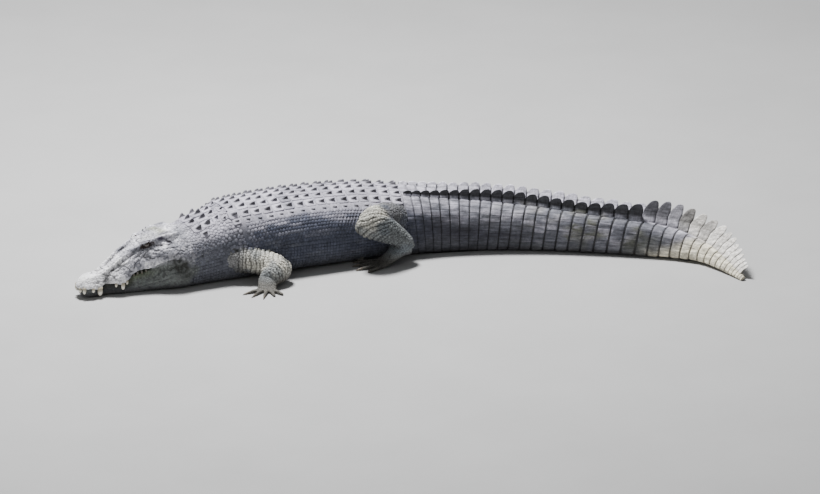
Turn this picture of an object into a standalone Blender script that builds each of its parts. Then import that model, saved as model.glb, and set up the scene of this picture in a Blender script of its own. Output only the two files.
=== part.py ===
"""A large male saltwater crocodile, life size, lying at rest on the plane z = 0.

Metres, +Z up. The head points towards -X and turns a little towards -Y, the left
side of the animal faces -Y, and the tail curves round towards -Y at its end.
The body is one lofted form, parted where a person would name its parts. Stations
are measured along the backbone from the tip of the snout, offsets are measured
sideways from the backbone (positive to the animal's left), heights from the floor.
"""

import math

import bmesh
import bpy
from mathutils import Vector

# ---------------------------------------------------------------- driving dimensions
TOTAL_LENGTH = 4.46
GAP = 0.0005            # clearance between two solids that meet
HEAD_END = 0.68         # where the back of the jaws meets the neck
NECK_END = 1.02
TRUNK_CUTS = (1.02, 1.40, 1.78, 2.16)
DOUBLE_CREST_CUTS = (2.16, 2.66, 3.16, 3.66)
TOOL_CUTS = (HEAD_END, *TRUNK_CUTS, 2.55)
LEG_CLEARANCE = 0.0010  # clearance between a leg and the body it comes out of
BODY_STEP = 0.075       # spacing of the sections along neck and trunk
HEAD_STEP = 0.030       # spacing of the sections along the head
DOUBLE_WHORLS = 21      # rings of tail scales that carry two keels
SINGLE_WHORLS = 18      # rings that carry one upright blade
WHORL_SHRINK = 0.30     # the last ring's length as a share of the first one's
VALLEY = 0.28           # height left between two blades, as a share of a blade
BLADE_PEAK = 0.80       # where in its ring a blade is highest
BLADE_HALF = 0.009      # half thickness of a blade at its foot
FLAT_DEPTH = 0.012      # how much of the rolled tail's edge is pressed flat
TOOTH_SIDES = 5
CHIN_START = 0.018      # the lower jaw begins behind the tip of the snout
JAW_INSET = 0.018       # the upper lip overhangs the lower jaw by this much
EYE_STATION = 0.436
EYE_OFFSET = 0.071
EYE_HEIGHT = 0.293
EYE_RADIUS = 0.021

# Profiles: (station, value). The curve between them is smooth and never overshoots.
HEADING = ((0.0, 29), (0.65, 28), (1.05, 29), (1.60, 22.5), (2.10, 11), (2.45, 4),
           (2.80, -3), (3.35, -13), (3.75, -20), (3.98, -32), (4.16, -52), (4.46, -57))
HALF_WIDTH = ((0.68, 0.205), (0.85, 0.212), (1.05, 0.250), (1.35, 0.288), (1.62, 0.296),
              (1.90, 0.268), (2.12, 0.230), (2.40, 0.186), (2.90, 0.150), (3.43, 0.112),
              (3.80, 0.080), (4.15, 0.046), (4.46, 0.012))
TOP_HEIGHT = ((0.68, 0.345), (0.85, 0.388), (1.02, 0.444), (1.35, 0.440), (1.62, 0.432),
              (1.90, 0.422), (2.12, 0.395), (2.40, 0.352), (2.90, 0.296), (3.40, 0.246),
              (3.80, 0.196), (4.12, 0.116), (4.46, 0.030))
SIDE_HEIGHT = ((0.68, 0.165), (1.05, 0.185), (1.60, 0.175), (2.12, 0.165), (2.60, 0.150),
               (3.43, 0.115), (3.90, 0.075), (4.46, 0.014))
BELLY_FLAT = ((0.68, 0.125), (1.05, 0.138), (1.60, 0.138), (2.05, 0.125), (2.40, 0.100),
              (3.43, 0.058), (4.00, 0.032), (4.46, 0.006))
CREST_HEIGHT = ((2.16, 0.020), (2.50, 0.046), (2.90, 0.078), (3.30, 0.100), (3.66, 0.120),
                (3.80, 0.130), (4.00, 0.128), (4.16, 0.112), (4.30, 0.072), (4.46, 0.026))
CREST_OFFSET = ((2.16, 0.096), (2.60, 0.086), (3.05, 0.068), (3.45, 0.044), (3.66, 0.024))
CREST_RAKE = ((2.16, 0.20), (3.40, 0.28), (3.80, 0.36), (4.05, 0.62), (4.46, 0.80))
TAIL_ROLL = ((3.30, 0), (3.66, 4), (3.90, 12), (4.12, 28), (4.46, 36))
CREST_SPLAY = 0.20      # how far a double blade leans outwards for its height

LIP_WIDTH = ((0.0, 0.016), (0.014, 0.042), (0.036, 0.062), (0.075, 0.074), (0.120, 0.071),
             (0.160, 0.059), (0.205, 0.082), (0.255, 0.104), (0.305, 0.104), (0.380, 0.106),
             (0.450, 0.124), (0.520, 0.156), (0.600, 0.190), (0.68, 0.203))
UPPER_LIP = ((0.0, 0.062), (0.050, 0.068), (0.120, 0.056), (0.162, 0.076), (0.210, 0.080),
             (0.260, 0.073), (0.300, 0.098), (0.345, 0.136), (0.400, 0.149), (0.450, 0.150),
             (0.500, 0.178), (0.560, 0.196), (0.600, 0.198), (0.68, 0.180))
MOUTH_OPENING = ((0.0, 0.0), (0.305, 0.0), (0.345, 0.024), (0.400, 0.030), (0.445, 0.014),
                 (0.480, 0.0), (0.68, 0.0))
RIDGE_OFFSET = ((0.0, 0.007), (0.030, 0.030), (0.075, 0.041), (0.120, 0.041), (0.200, 0.045),
                (0.300, 0.051), (0.380, 0.062), (0.430, 0.076), (0.480, 0.083), (0.540, 0.091),
                (0.610, 0.098), (0.645, 0.096), (0.68, 0.100))
RIDGE_HEIGHT = ((0.0, 0.086), (0.030, 0.117), (0.075, 0.136), (0.120, 0.139), (0.160, 0.152),
                (0.214, 0.182), (0.266, 0.218), (0.336, 0.262), (0.400, 0.293), (0.440, 0.318),
                (0.485, 0.324), (0.540, 0.337), (0.610, 0.342), (0.645, 0.338), (0.68, 0.335))
RIDGE_SINK = ((0.0, 0.0), (0.060, 0.004), (0.120, 0.006), (0.300, 0.009), (0.430, 0.018),
              (0.500, 0.010), (0.600, 0.004), (0.68, -0.010))
CHEEK_BULGE = ((0.0, 0.004), (0.120, 0.010), (0.250, 0.014), (0.400, 0.014), (0.500, 0.026),
               (0.600, 0.034), (0.68, 0.030))
TEMPLE_BULGE = ((0.0, 0.003), (0.250, 0.006), (0.400, 0.004), (0.500, -0.006), (0.600, 0.002),
                (0.68, 0.040))
JOWL_WIDTH = ((0.018, 0.020), (0.050, 0.048), (0.120, 0.053), (0.160, 0.053), (0.222, 0.070),
              (0.262, 0.084), (0.300, 0.091), (0.400, 0.120), (0.500, 0.158), (0.600, 0.196),
              (0.68, 0.205))
JAW_FLAT = ((0.018, 0.008), (0.050, 0.030), (0.200, 0.044), (0.400, 0.085), (0.68, 0.130))
CHIN_RISE = ((0.018, 0.030), (0.038, 0.010), (0.070, 0.0), (0.68, 0.0))

# Teeth: (station, share of the lip's width, length, radius); down from the upper lip.
UPPER_TEETH = ((0.010, 0.62, 0.030, 0.0060), (0.026, 0.84, 0.040, 0.0070),
               (0.075, 0.93, 0.034, 0.0060), (0.126, 0.92, 0.050, 0.0085),
               (0.222, 0.93, 0.034, 0.0060), (0.262, 0.94, 0.052, 0.0085),
               (0.289, 0.95, 0.034, 0.0060))
# Up from the lower lip, where the mouth stands open a little.
LOWER_TEETH = ((0.345, 0.90, 0.016, 0.0050), (0.370, 0.90, 0.020, 0.0055),
               (0.398, 0.90, 0.022, 0.0055), (0.424, 0.90, 0.018, 0.0050))

# Legs: joints as (station, offset, height): shoulder, elbow, wrist; hip, knee, ankle.
FORELEG = {"left": ((0.990, 0.190, 0.152), (1.205, 0.338, 0.098), (1.085, 0.405, 0.056)),
           "right": ((1.000, 0.190, 0.150), (1.195, 0.345, 0.094), (1.055, 0.400, 0.054))}
HIND_LEG = {"left": ((2.110, 0.130, 0.244), (1.868, 0.330, 0.298), (2.105, 0.300, 0.132)),
            "right": ((2.110, 0.130, 0.220), (1.900, 0.320, 0.190), (2.140, 0.310, 0.105))}
# Their thickness: (share of the bone, half width, half depth), past both joints.
UPPER_ARM = ((-0.20, 0.074, 0.070), (0.10, 0.080, 0.072), (0.50, 0.074, 0.066),
             (0.90, 0.076, 0.070), (1.10, 0.058, 0.056), (1.22, 0.026, 0.024))
FOREARM = ((-0.46, 0.028, 0.028), (-0.28, 0.062, 0.060), (0.05, 0.084, 0.084),
           (0.40, 0.078, 0.080), (0.80, 0.060, 0.062), (1.25, 0.050, 0.052))
THIGH = ((-0.15, 0.070, 0.088), (0.10, 0.090, 0.094), (0.50, 0.084, 0.096),
         (0.85, 0.078, 0.096), (1.06, 0.066, 0.082), (1.20, 0.034, 0.042))
SHANK = ((-0.30, 0.034, 0.048), (-0.16, 0.062, 0.088), (0.10, 0.078, 0.106),
         (0.50, 0.074, 0.096), (0.88, 0.068, 0.086), (1.12, 0.060, 0.074),
         (1.30, 0.034, 0.042))
LEG_SIDES = 12
# Hand and foot: where they point (from the heading at a station, turned outwards),
# their length, half width, thickness at wrist or ankle, and the spread of their digits.
HAND = {"aim": 1.08, "turn": 55, "length": 0.160, "palm": 0.50, "wide": 0.060,
        "joint": (0.060, 0.054), "digit": 0.0112, "digits": (-54, -27, -2, 24, 50)}
FOOT = {"aim": 2.07, "turn": 6, "length": 0.275, "palm": 0.62, "wide": 0.064,
        "joint": (0.062, 0.070), "digit": 0.0135, "digits": (-20, -7, 8, 24)}
DIGIT_SIDES = 7
KNUCKLE_SPAN = 0.80     # how much of the palm's width the knuckles take up
CLAWED_DIGITS = 3       # the inner three digits of every foot carry claws
CLAW_LENGTH = 0.032

# Colour, roughness of each finish.
FINISHES = {
    "hide_head": ((0.50, 0.49, 0.50), 0.75), "hide_body": ((0.36, 0.36, 0.38), 0.75),
    "hide_leg": ((0.52, 0.51, 0.46), 0.75), "hide_tail": ((0.46, 0.46, 0.43), 0.75),
    "claw": ((0.16, 0.14, 0.12), 0.45), "eye": ((0.20, 0.15, 0.07), 0.10),
}


# ---------------------------------------------------------------- curves and frames
def profile(knots, station):
    """Read a smooth curve through the knots that never overshoots them."""
    if station <= knots[0][0]:
        return knots[0][1]
    if station >= knots[-1][0]:
        return knots[-1][1]
    index = 0
    while knots[index + 1][0] < station:
        index += 1
    x0, y0 = knots[index]
    x1, y1 = knots[index + 1]
    t = (station - x0) / (x1 - x0)
    m0 = knot_slope(knots, index) * (x1 - x0)
    m1 = knot_slope(knots, index + 1) * (x1 - x0)
    return ((2 * t ** 3 - 3 * t ** 2 + 1) * y0 + (t ** 3 - 2 * t ** 2 + t) * m0
            + (3 * t ** 2 - 2 * t ** 3) * y1 + (t ** 3 - t ** 2) * m1)


def knot_slope(knots, index):
    """Slope at a knot: the harmonic mean of its two neighbours, 0 at a turning point."""
    if index == 0 or index == len(knots) - 1:
        near = 0 if index == 0 else index - 1
        (x0, y0), (x1, y1) = knots[near], knots[near + 1]
        return (y1 - y0) / (x1 - x0)
    (xa, ya), (xb, yb), (xc, yc) = knots[index - 1:index + 2]
    before = (yb - ya) / (xb - xa)
    after = (yc - yb) / (xc - xb)
    if before * after <= 0:
        return 0.0
    return 2 * before * after / (before + after)


def lay_backbone():
    """Walk along the backbone in plan, turning as HEADING says."""
    steps = 880
    step = TOTAL_LENGTH / steps
    here = Vector((0.0, 0.0, 0.0))
    points = [here.copy()]
    for index in range(steps):
        angle = math.radians(profile(HEADING, (index + 0.5) * step))
        here = here + step * Vector((math.cos(angle), math.sin(angle), 0.0))
        points.append(here.copy())
    return points


BACKBONE = lay_backbone()


def backbone_frame(station):
    """Position on the backbone, the direction tailwards and the direction left."""
    place = min(max(station, 0.0), TOTAL_LENGTH) / TOTAL_LENGTH * (len(BACKBONE) - 1)
    index = min(int(place), len(BACKBONE) - 2)
    point = BACKBONE[index].lerp(BACKBONE[index + 1], place - index)
    angle = math.radians(profile(HEADING, station))
    tailwards = Vector((math.cos(angle), math.sin(angle), 0.0))
    left = Vector((math.sin(angle), -math.cos(angle), 0.0))
    return point, tailwards, left


def place(station, offset, height, back=0.0):
    """A point from its station, sideways offset and height; back shifts it tailwards."""
    point, tailwards, left = backbone_frame(station)
    return point + back * tailwards + offset * left + Vector((0.0, 0.0, height))


# ---------------------------------------------------------------- meshes and finishes
def finish(name):
    """The named finish as a material, made once."""
    if name not in bpy.data.materials:
        material = bpy.data.materials.new(name)
        material.use_nodes = True
        shader = material.node_tree.nodes["Principled BSDF"]
        colour, roughness = FINISHES[name]
        shader.inputs["Base Color"].default_value = (*colour, 1.0)
        shader.inputs["Roughness"].default_value = roughness
        shader.inputs["Metallic"].default_value = 0.0
    return bpy.data.materials[name]


def add_object(name, bm, finish_name):
    """Close a bmesh as a named object with its finish, its faces pointing outwards."""
    bmesh.ops.triangulate(bm, faces=bm.faces, ngon_method="EAR_CLIP")
    bmesh.ops.recalc_face_normals(bm, faces=bm.faces)
    mesh = bpy.data.meshes.new(name)
    bm.to_mesh(mesh)
    bm.free()
    mesh.shade_smooth()
    mesh.set_sharp_from_angle(angle=math.radians(40))
    mesh.materials.append(finish(finish_name))
    thing = bpy.data.objects.new(name, mesh)
    bpy.context.scene.collection.objects.link(thing)
    return thing


def add_loft(bm, rings):
    """Skin a row of closed rings and cap both ends."""
    loops = [[bm.verts.new(point) for point in ring] for ring in rings]
    count = len(rings[0])
    for low, high in zip(loops, loops[1:]):
        for index in range(count):
            following = (index + 1) % count
            bm.faces.new((low[index], low[following], high[following], high[index]))
    bm.faces.new(list(reversed(loops[0])))
    bm.faces.new(loops[-1])


def loft(name, rings, finish_name):
    """One closed lofted solid."""
    bm = bmesh.new()
    add_loft(bm, rings)
    return add_object(name, bm, finish_name)


def whole_ring(station, half):
    """Mirror half a section, from bottom centre to top centre, into a full ring."""
    left = [place(station, offset, height, back) for offset, height, back in half]
    right = [place(station, -offset, height, back) for offset, height, back in half[1:-1]]
    return left + right[::-1]


def hide_tool(thing):
    """A body that only shapes others: drawn as wire and left out of the model."""
    thing.hide_render = True
    thing.display_type = "WIRE"


def combine(thing, tool, operation):
    """Cut one solid by another, or weld the two into one."""
    hide_tool(tool)
    modifier = thing.modifiers.new(operation.title() + " " + tool.name, "BOOLEAN")
    modifier.operation = operation
    modifier.solver = "EXACT"
    modifier.object = tool


def stations_between(start, end, step):
    """Even stations from start to end, no further apart than the step."""
    count = max(1, math.ceil((end - start) / step))
    return [start + (end - start) * index / count for index in range(count + 1)]


# ---------------------------------------------------------------- neck and trunk
def back_height(station, offset):
    """Height of the back at a sideways offset: a broad, low arch."""
    half = profile(HALF_WIDTH, station)
    side = profile(SIDE_HEIGHT, station)
    top = profile(TOP_HEIGHT, station)
    share = min(abs(offset) / half, 1.0)
    return side + (top - side) * (1.0 - share ** 2.3) ** (1 / 2.3)


def lower_half(station, points, swell=0.0):
    """Half the belly and lower flank: a flat on the floor, then a full round side."""
    half = profile(HALF_WIDTH, station) + swell
    side = profile(SIDE_HEIGHT, station)
    flat = profile(BELLY_FLAT, station)
    outline = [(0.0, -swell, 0.0), (flat, -swell, 0.0)]
    for index in range(1, points + 1):
        angle = math.pi / 2 * index / points
        offset = flat + (half - flat) * math.sin(angle) ** 0.85
        outline.append((offset, side - (side + swell) * math.cos(angle) ** 0.85, 0.0))
    return outline


def trunk_half(station, swell=0.0):
    """Half a section of neck or trunk."""
    outline = lower_half(station, 4, swell)
    half = profile(HALF_WIDTH, station)
    for share in (0.94, 0.80, 0.58, 0.30, 0.0):
        offset = half * share
        outline.append((offset + swell * share, back_height(station, offset) + swell, 0.0))
    return outline


def trunk_rings(start, end, swell=0.0):
    """Sections of neck or trunk from start to end, a hair short of both."""
    return [whole_ring(station, trunk_half(station, swell))
            for station in stations_between(start + GAP / 2, end - GAP / 2, BODY_STEP)]


def build_neck_and_trunk():
    """The neck and three lengths of trunk."""
    loft("neck", trunk_rings(HEAD_END, NECK_END), "hide_body")
    names = ("trunk_front", "trunk_middle", "trunk_rear")
    for name, start, end in zip(names, TRUNK_CUTS, TRUNK_CUTS[1:]):
        loft(name, trunk_rings(start, end), "hide_body")


def body_tool():
    """Neck, trunk and tail base a hair larger than they are, to fit the legs to them."""
    rings = []
    for start, end in zip(TOOL_CUTS, TOOL_CUTS[1:]):
        rings += trunk_rings(start, end, LEG_CLEARANCE)
    return loft("body_tool", rings, "hide_body")


# ---------------------------------------------------------------- tail
def whorl_starts():
    """Stations where the tail's rings of scales begin, ending at the tip."""
    first = DOUBLE_CREST_CUTS[0]
    turn = DOUBLE_CREST_CUTS[-1]
    double = [first + (turn - first) * index / DOUBLE_WHORLS for index in range(DOUBLE_WHORLS)]
    lengths = [1.0 - (1.0 - WHORL_SHRINK) * index / (SINGLE_WHORLS - 1)
               for index in range(SINGLE_WHORLS)]
    scale = (TOTAL_LENGTH - turn) / sum(lengths)
    single = [turn]
    for length in lengths[:-1]:
        single.append(single[-1] + length * scale)
    return double + single + [TOTAL_LENGTH]


WHORLS = whorl_starts()
THIRD = SINGLE_WHORLS // 3
SINGLE_CREST_CUTS = tuple(WHORLS[DOUBLE_WHORLS::THIRD])


def blade_share(station):
    """Height of the crest's edge at a station, as a share of a full blade."""
    index = 0
    while index < len(WHORLS) - 2 and WHORLS[index + 1] <= station:
        index += 1
    if station > WHORLS[index + 1] - GAP:
        return VALLEY
    phase = (station - WHORLS[index]) / (WHORLS[index + 1] - WHORLS[index])
    if phase <= BLADE_PEAK:
        return VALLEY + (1.0 - VALLEY) * phase / BLADE_PEAK
    return 1.0 - (1.0 - VALLEY) * (phase - BLADE_PEAK) / (1.0 - BLADE_PEAK)


def blade_lean(station):
    """How far the crest's edge leans tailwards: not at all at a blade's foot."""
    free = profile(CREST_HEIGHT, station) * (blade_share(station) - VALLEY)
    return free * profile(CREST_RAKE, station)


def tail_stations(start, end):
    """The ends of a length of tail, and each blade's foot and peak between them."""
    margin = 0.004
    inner = []
    for first, last in zip(WHORLS, WHORLS[1:]):
        inner += [first, first + (last - first) * BLADE_PEAK]
    return [start] + [s for s in inner if start + margin < s < end - margin] + [end]


def double_half(station):
    """Half a section of the tail's first part, with one of its two keels."""
    outline = lower_half(station, 3)
    half = profile(HALF_WIDTH, station)
    crest = profile(CREST_OFFSET, station)
    rise = profile(CREST_HEIGHT, station) * blade_share(station)
    outer = crest + BLADE_HALF
    inner = crest - BLADE_HALF
    for share in (0.30, 0.65):
        offset = half + (outer - half) * share
        outline.append((offset, back_height(station, offset), 0.0))
    outline.append((outer, back_height(station, outer), 0.0))
    foot = back_height(station, crest)
    outline.append((crest + CREST_SPLAY * rise, foot + rise, blade_lean(station)))
    outline.append((inner, back_height(station, inner), 0.0))
    outline.append((0.0, back_height(station, 0.0), 0.0))
    return outline


def single_half(station):
    """Half a section of the tail's last part, under its one upright blade."""
    outline = lower_half(station, 3)
    half = profile(HALF_WIDTH, station)
    rise = profile(CREST_HEIGHT, station) * blade_share(station)
    foot = min(BLADE_HALF, 0.5 * half)
    for share in (0.35, 0.72, 1.0):
        offset = half + (foot - half) * share
        outline.append((offset, back_height(station, offset), 0.0))
    outline.append((0.0, back_height(station, 0.0) + rise, blade_lean(station)))
    return outline


def rolled(station, ring):
    """Roll a section over to the right, as the tail's end lies, and rest it on a flat."""
    angle = math.radians(profile(TAIL_ROLL, station))
    if angle == 0.0:
        return ring
    centre, _, left = backbone_frame(station)
    turned_ring = []
    for point in ring:
        offset = (point - centre).dot(left)
        lean = offset * math.cos(angle) - point.z * math.sin(angle)
        height = offset * math.sin(angle) + point.z * math.cos(angle)
        turned_ring.append(point + (lean - offset) * left + Vector((0, 0, height - point.z)))
    sink = min(point.z for point in turned_ring) + FLAT_DEPTH * math.sin(angle)
    for point in turned_ring:
        point.z = max(point.z - sink, 0.0)
    return turned_ring


def build_tail():
    """Three lengths under the double keels, then three under the single blades."""
    number = 1
    for cuts, half in ((DOUBLE_CREST_CUTS, double_half), (SINGLE_CREST_CUTS, single_half)):
        for start, end in zip(cuts, cuts[1:]):
            stations = tail_stations(start + GAP / 2, end - GAP / 2)
            rings = [rolled(station, whole_ring(station, half(station)))
                     for station in stations]
            loft("tail_" + str(number), rings, "hide_tail")
            number += 1


# ---------------------------------------------------------------- head
def fade(value, low, high):
    """0 below low, 1 above high, smooth between."""
    share = min(max((value - low) / (high - low), 0.0), 1.0)
    return share * share * (3 - 2 * share)


def head_half(station):
    """Half a section of the head above the mouth, from the palate up to the crown."""
    lip = profile(LIP_WIDTH, station)
    low = profile(UPPER_LIP, station)
    ridge = profile(RIDGE_OFFSET, station)
    high = profile(RIDGE_HEIGHT, station)
    cheek = profile(CHEEK_BULGE, station)
    temple = profile(TEMPLE_BULGE, station)
    crown = high - profile(RIDGE_SINK, station)
    outline = [(0.0, low), (0.55 * lip, low), (lip, low)]
    for share, bulge in ((0.22, 0.8 * cheek), (0.48, cheek), (0.76, temple)):
        outline.append((lip + (ridge - lip) * share + bulge, low + (high - low) * share))
    outline += [(ridge, high), (0.55 * ridge, 0.4 * high + 0.6 * crown), (0.0, crown)]
    return [(offset, height, 0.0) for offset, height in blend_to_neck(station, outline)]


def blend_to_neck(station, outline):
    """Let the back of the head take the neck's round section."""
    share = fade(station, 0.62, HEAD_END)
    half = profile(HALF_WIDTH, HEAD_END)
    blended = []
    for offset, height in outline:
        if height <= outline[2][1] + 1e-6:
            blended.append((offset, height))
            continue
        neck_height = back_height(HEAD_END, offset) if offset < half else height
        blended.append((offset, height + (neck_height - height) * share))
    return blended


def head_stations():
    """Sections of the head: close together round the snout's tip."""
    return [0.0, 0.006, 0.016, 0.030] + stations_between(0.050, HEAD_END - GAP / 2, HEAD_STEP)


def tooth_ring(station, offset, height, radius):
    """A small level ring, for a tooth."""
    ring = []
    for index in range(TOOTH_SIDES):
        angle = 2 * math.pi * index / TOOTH_SIDES
        ring.append(place(station, offset + radius * math.sin(angle), height,
                          radius * math.cos(angle)))
    return ring


def add_tooth(bm, tooth, lip_curve, side, direction):
    """A tapered tooth with its root in the jaw; direction is -1 down, 1 up."""
    station, share, length, radius = tooth
    offset = side * share * (profile(LIP_WIDTH, station) - (JAW_INSET if direction > 0 else 0))
    root = lip_curve(station)
    shape = ((-0.014, 1.0), (0.45 * length, 0.90), (length, 0.16))
    rings = [tooth_ring(station, offset, root + direction * drop, radius * size)
             for drop, size in shape]
    add_loft(bm, rings)


def teeth(name, rows, lip_curve, direction):
    """Both sides' teeth of one jaw, ready to weld to it."""
    bm = bmesh.new()
    for tooth in rows:
        for side in (1, -1):
            add_tooth(bm, tooth, lip_curve, side, direction)
    return add_object(name, bm, "hide_head")


def upper_lip(station):
    """Height of the upper lip's edge."""
    return profile(UPPER_LIP, station)


def lower_lip(station):
    """Height of the lower lip's edge, just under the upper one or a little open."""
    return profile(UPPER_LIP, station) - GAP - profile(MOUTH_OPENING, station)


def jaw_half(station):
    """Half a section of the lower jaw and the throat bag under it."""
    jowl = profile(JOWL_WIDTH, station)
    flat = profile(JAW_FLAT, station)
    low = profile(CHIN_RISE, station)
    high = lower_lip(station)
    inset = JAW_INSET * (1.0 - fade(station, 0.45, HEAD_END))
    lip = max(profile(LIP_WIDTH, station) - inset, 0.010)
    outline = [(0.0, low), (flat, low)]
    for angle in (30, 60, 90):
        turn = math.radians(angle)
        outline.append((flat + (jowl - flat) * math.sin(turn) ** 0.9,
                        low + (0.5 * (high - low)) * (1 - math.cos(turn))))
    outline += [(0.35 * jowl + 0.65 * lip, low + 0.80 * (high - low))]
    outline += [(lip, high), (0.5 * lip, high), (0.0, high)]
    return [(offset, height, 0.0) for offset, height in outline]


def jaw_stations():
    """Sections of the lower jaw, behind the tip of the snout."""
    return [CHIN_START, 0.026, 0.036] + stations_between(0.050, HEAD_END - GAP / 2, HEAD_STEP)


def eye_ball(name, side, radius):
    """One eyeball, low in facets."""
    bm = bmesh.new()
    bmesh.ops.create_uvsphere(bm, u_segments=10, v_segments=6, radius=radius)
    centre = place(EYE_STATION, side * EYE_OFFSET, EYE_HEIGHT)
    bmesh.ops.translate(bm, verts=bm.verts, vec=centre)
    return add_object(name, bm, "eye")


def build_head():
    """Head with its upper teeth, lower jaw with the teeth that show, and both eyes."""
    head = loft("head", [whole_ring(s, head_half(s)) for s in head_stations()], "hide_head")
    combine(head, teeth("upper_teeth_tool", UPPER_TEETH, upper_lip, -1), "UNION")
    jaw = loft("lower_jaw", [whole_ring(s, jaw_half(s)) for s in jaw_stations()], "hide_head")
    combine(jaw, teeth("lower_teeth_tool", LOWER_TEETH, lower_lip, 1), "UNION")
    for side, word in ((1, "left"), (-1, "right")):
        eye_ball("eye_" + word, side, EYE_RADIUS)
        combine(head, eye_ball("socket_tool_" + word, side, EYE_RADIUS + GAP), "DIFFERENCE")


# ---------------------------------------------------------------- legs
def section(centre, across, upright, wide, deep, sides):
    """An oval section; what would pass below the floor is pressed flat on it."""
    ring = []
    for index in range(sides):
        angle = 2 * math.pi * index / sides
        point = centre + wide * math.cos(angle) * across + deep * math.sin(angle) * upright
        point.z = max(point.z, 0.0)
        ring.append(point)
    return ring


def trim(bm, point, keep):
    """Cut a closed bmesh by a plane, keep the side the normal points to, and cap it."""
    geometry = bm.verts[:] + bm.edges[:] + bm.faces[:]
    bmesh.ops.bisect_plane(bm, geom=geometry, plane_co=point, plane_no=keep, clear_inner=True)
    rim = [edge for edge in bm.edges if len(edge.link_faces) == 1]
    bmesh.ops.holes_fill(bm, edges=rim)


def joint_plane(before, joint, after):
    """Normal of the plane that halves the bend at a joint, pointing down the leg."""
    return ((joint - before).normalized() + (after - joint).normalized()).normalized()


def limb_solid(name, ends, shape, reference, cuts):
    """One length of a leg: an oval loft along its bone, trimmed at its joints."""
    start, end = ends
    along = (end - start).normalized()
    across = (reference - along * reference.dot(along)).normalized()
    upright = along.cross(across)
    rings = [section(start + (end - start) * share, across, upright, wide, deep, LEG_SIDES)
             for share, wide, deep in shape]
    bm = bmesh.new()
    add_loft(bm, rings)
    bmesh.ops.recalc_face_normals(bm, faces=bm.faces)
    for point, keep in cuts:
        trim(bm, point + keep * GAP / 2, keep)
    return add_object(name, bm, "hide_leg")


def aim(station, side, turn):
    """The direction a hand or foot points in: forwards, turned outwards."""
    _, tailwards, left = backbone_frame(station)
    angle = math.radians(turn)
    return -math.cos(angle) * tailwards + math.sin(angle) * side * left


def turned(direction, degrees):
    """A level direction turned by an angle seen from above."""
    angle = math.radians(degrees)
    return Vector((direction.x * math.cos(angle) - direction.y * math.sin(angle),
                   direction.x * math.sin(angle) + direction.y * math.cos(angle), 0.0))


def level_section(centre, direction, wide, deep, sides):
    """A section across something that points level along the floor."""
    across = turned(direction, 90)
    return section(centre, across, Vector((0.0, 0.0, 1.0)), wide, deep, sides)


def digit_rings(root, direction, length, thick):
    """A digit: out of the palm, over its knuckle and down to the floor."""
    shape = ((0.0, 1.0, 1.05), (0.40, 0.95, 1.15), (0.75, 0.84, 0.85), (1.0, 0.68, 0.62))
    rings = []
    for share, size, lift in shape:
        centre = root + direction * length * share
        centre.z = thick * lift
        rings.append(level_section(centre, direction, thick * size, thick * size, DIGIT_SIDES))
    return rings


def build_claw(name, tip, direction, thick):
    """A curved claw that starts a hair beyond the end of its digit."""
    shape = ((GAP, 0.62, 0.0), (0.45 * CLAW_LENGTH, 0.52, 0.001), (CLAW_LENGTH, 0.10, -0.005))
    rings = []
    for ahead, size, lift in shape:
        centre = tip + direction * ahead
        centre.z = max(centre.z + lift, 0.0015)
        rings.append(level_section(centre, direction, thick * size, thick * size, 6))
    loft(name, rings, "claw")


def palm_solid(name, wrist, direction, plan, cut):
    """The flat of a hand or foot, from its wrist or ankle to its knuckles."""
    wide = plan["wide"]
    joint_wide, joint_deep = plan["joint"]
    reach = plan["length"] * plan["palm"]
    rings = []
    for ahead, width, deep in ((-0.055, joint_wide, joint_deep),
                               (-0.010, joint_wide, 0.9 * joint_deep),
                               (0.40 * reach, 0.92 * wide, 0.5 * joint_deep + 0.004),
                               (0.75 * reach, wide, 0.019), (reach, 0.95 * wide, 0.013)):
        centre = wrist + direction * ahead
        centre.z = wrist.z + (0.80 * deep - wrist.z) * fade(ahead, -0.055, 0.75 * reach)
        rings.append(level_section(centre, direction, width, deep, LEG_SIDES))
    bm = bmesh.new()
    add_loft(bm, rings)
    bmesh.ops.recalc_face_normals(bm, faces=bm.faces)
    trim(bm, wrist + cut * GAP / 2, cut)
    return add_object(name, bm, "hide_leg")


def build_paw(names, joints, side, plan):
    """Palm, digits and claws of one hand or foot."""
    kind, limb, word = names
    elbow, wrist = joints[1:]
    direction = aim(plan["aim"], side, plan["turn"])
    cut = joint_plane(elbow, wrist, wrist + direction)
    palm = palm_solid(kind + "_" + word, wrist, direction, plan, cut)
    digits = bmesh.new()
    spreads = plan["digits"]
    for number, spread in enumerate(spreads, start=1):
        heading = turned(direction, side * spread)
        share = 2 * (number - 1) / (len(spreads) - 1) - 1
        across = turned(direction, side * 90)
        reach = plan["length"] * (1 - 0.82 * plan["palm"]) * (1.0 - 0.20 * abs(share))
        root = wrist + direction * plan["length"] * plan["palm"] * 0.82
        root += across * plan["wide"] * KNUCKLE_SPAN * share
        add_loft(digits, digit_rings(root, heading, reach, plan["digit"]))
        if number <= CLAWED_DIGITS:
            tip = root + heading * reach
            tip.z = plan["digit"] * 0.62
            build_claw("_".join(("claw", limb, word, str(number))), tip, heading,
                       plan["digit"])
    combine(palm, add_object(kind + "_digits_tool_" + word, digits, "hide_leg"), "UNION")
    return palm, cut


def build_leg(names, joints, side, shapes, reference, plan, trunk_tool):
    """Upper and lower length, hand or foot with its claws, all fitted to the trunk."""
    upper, lower, kind, limb, word = names
    first, middle, last = joints
    bend = joint_plane(first, middle, last)
    paw, cut = build_paw((kind, limb, word), joints, side, plan)
    upper_solid = limb_solid(upper + "_" + word, (first, middle), shapes[0], reference,
                             [(middle, -bend)])
    lower_solid = limb_solid(lower + "_" + word, (middle, last), shapes[1], reference,
                             [(middle, bend), (last, -cut)])
    for solid in (upper_solid, lower_solid, paw):
        combine(solid, trunk_tool, "DIFFERENCE")


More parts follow.
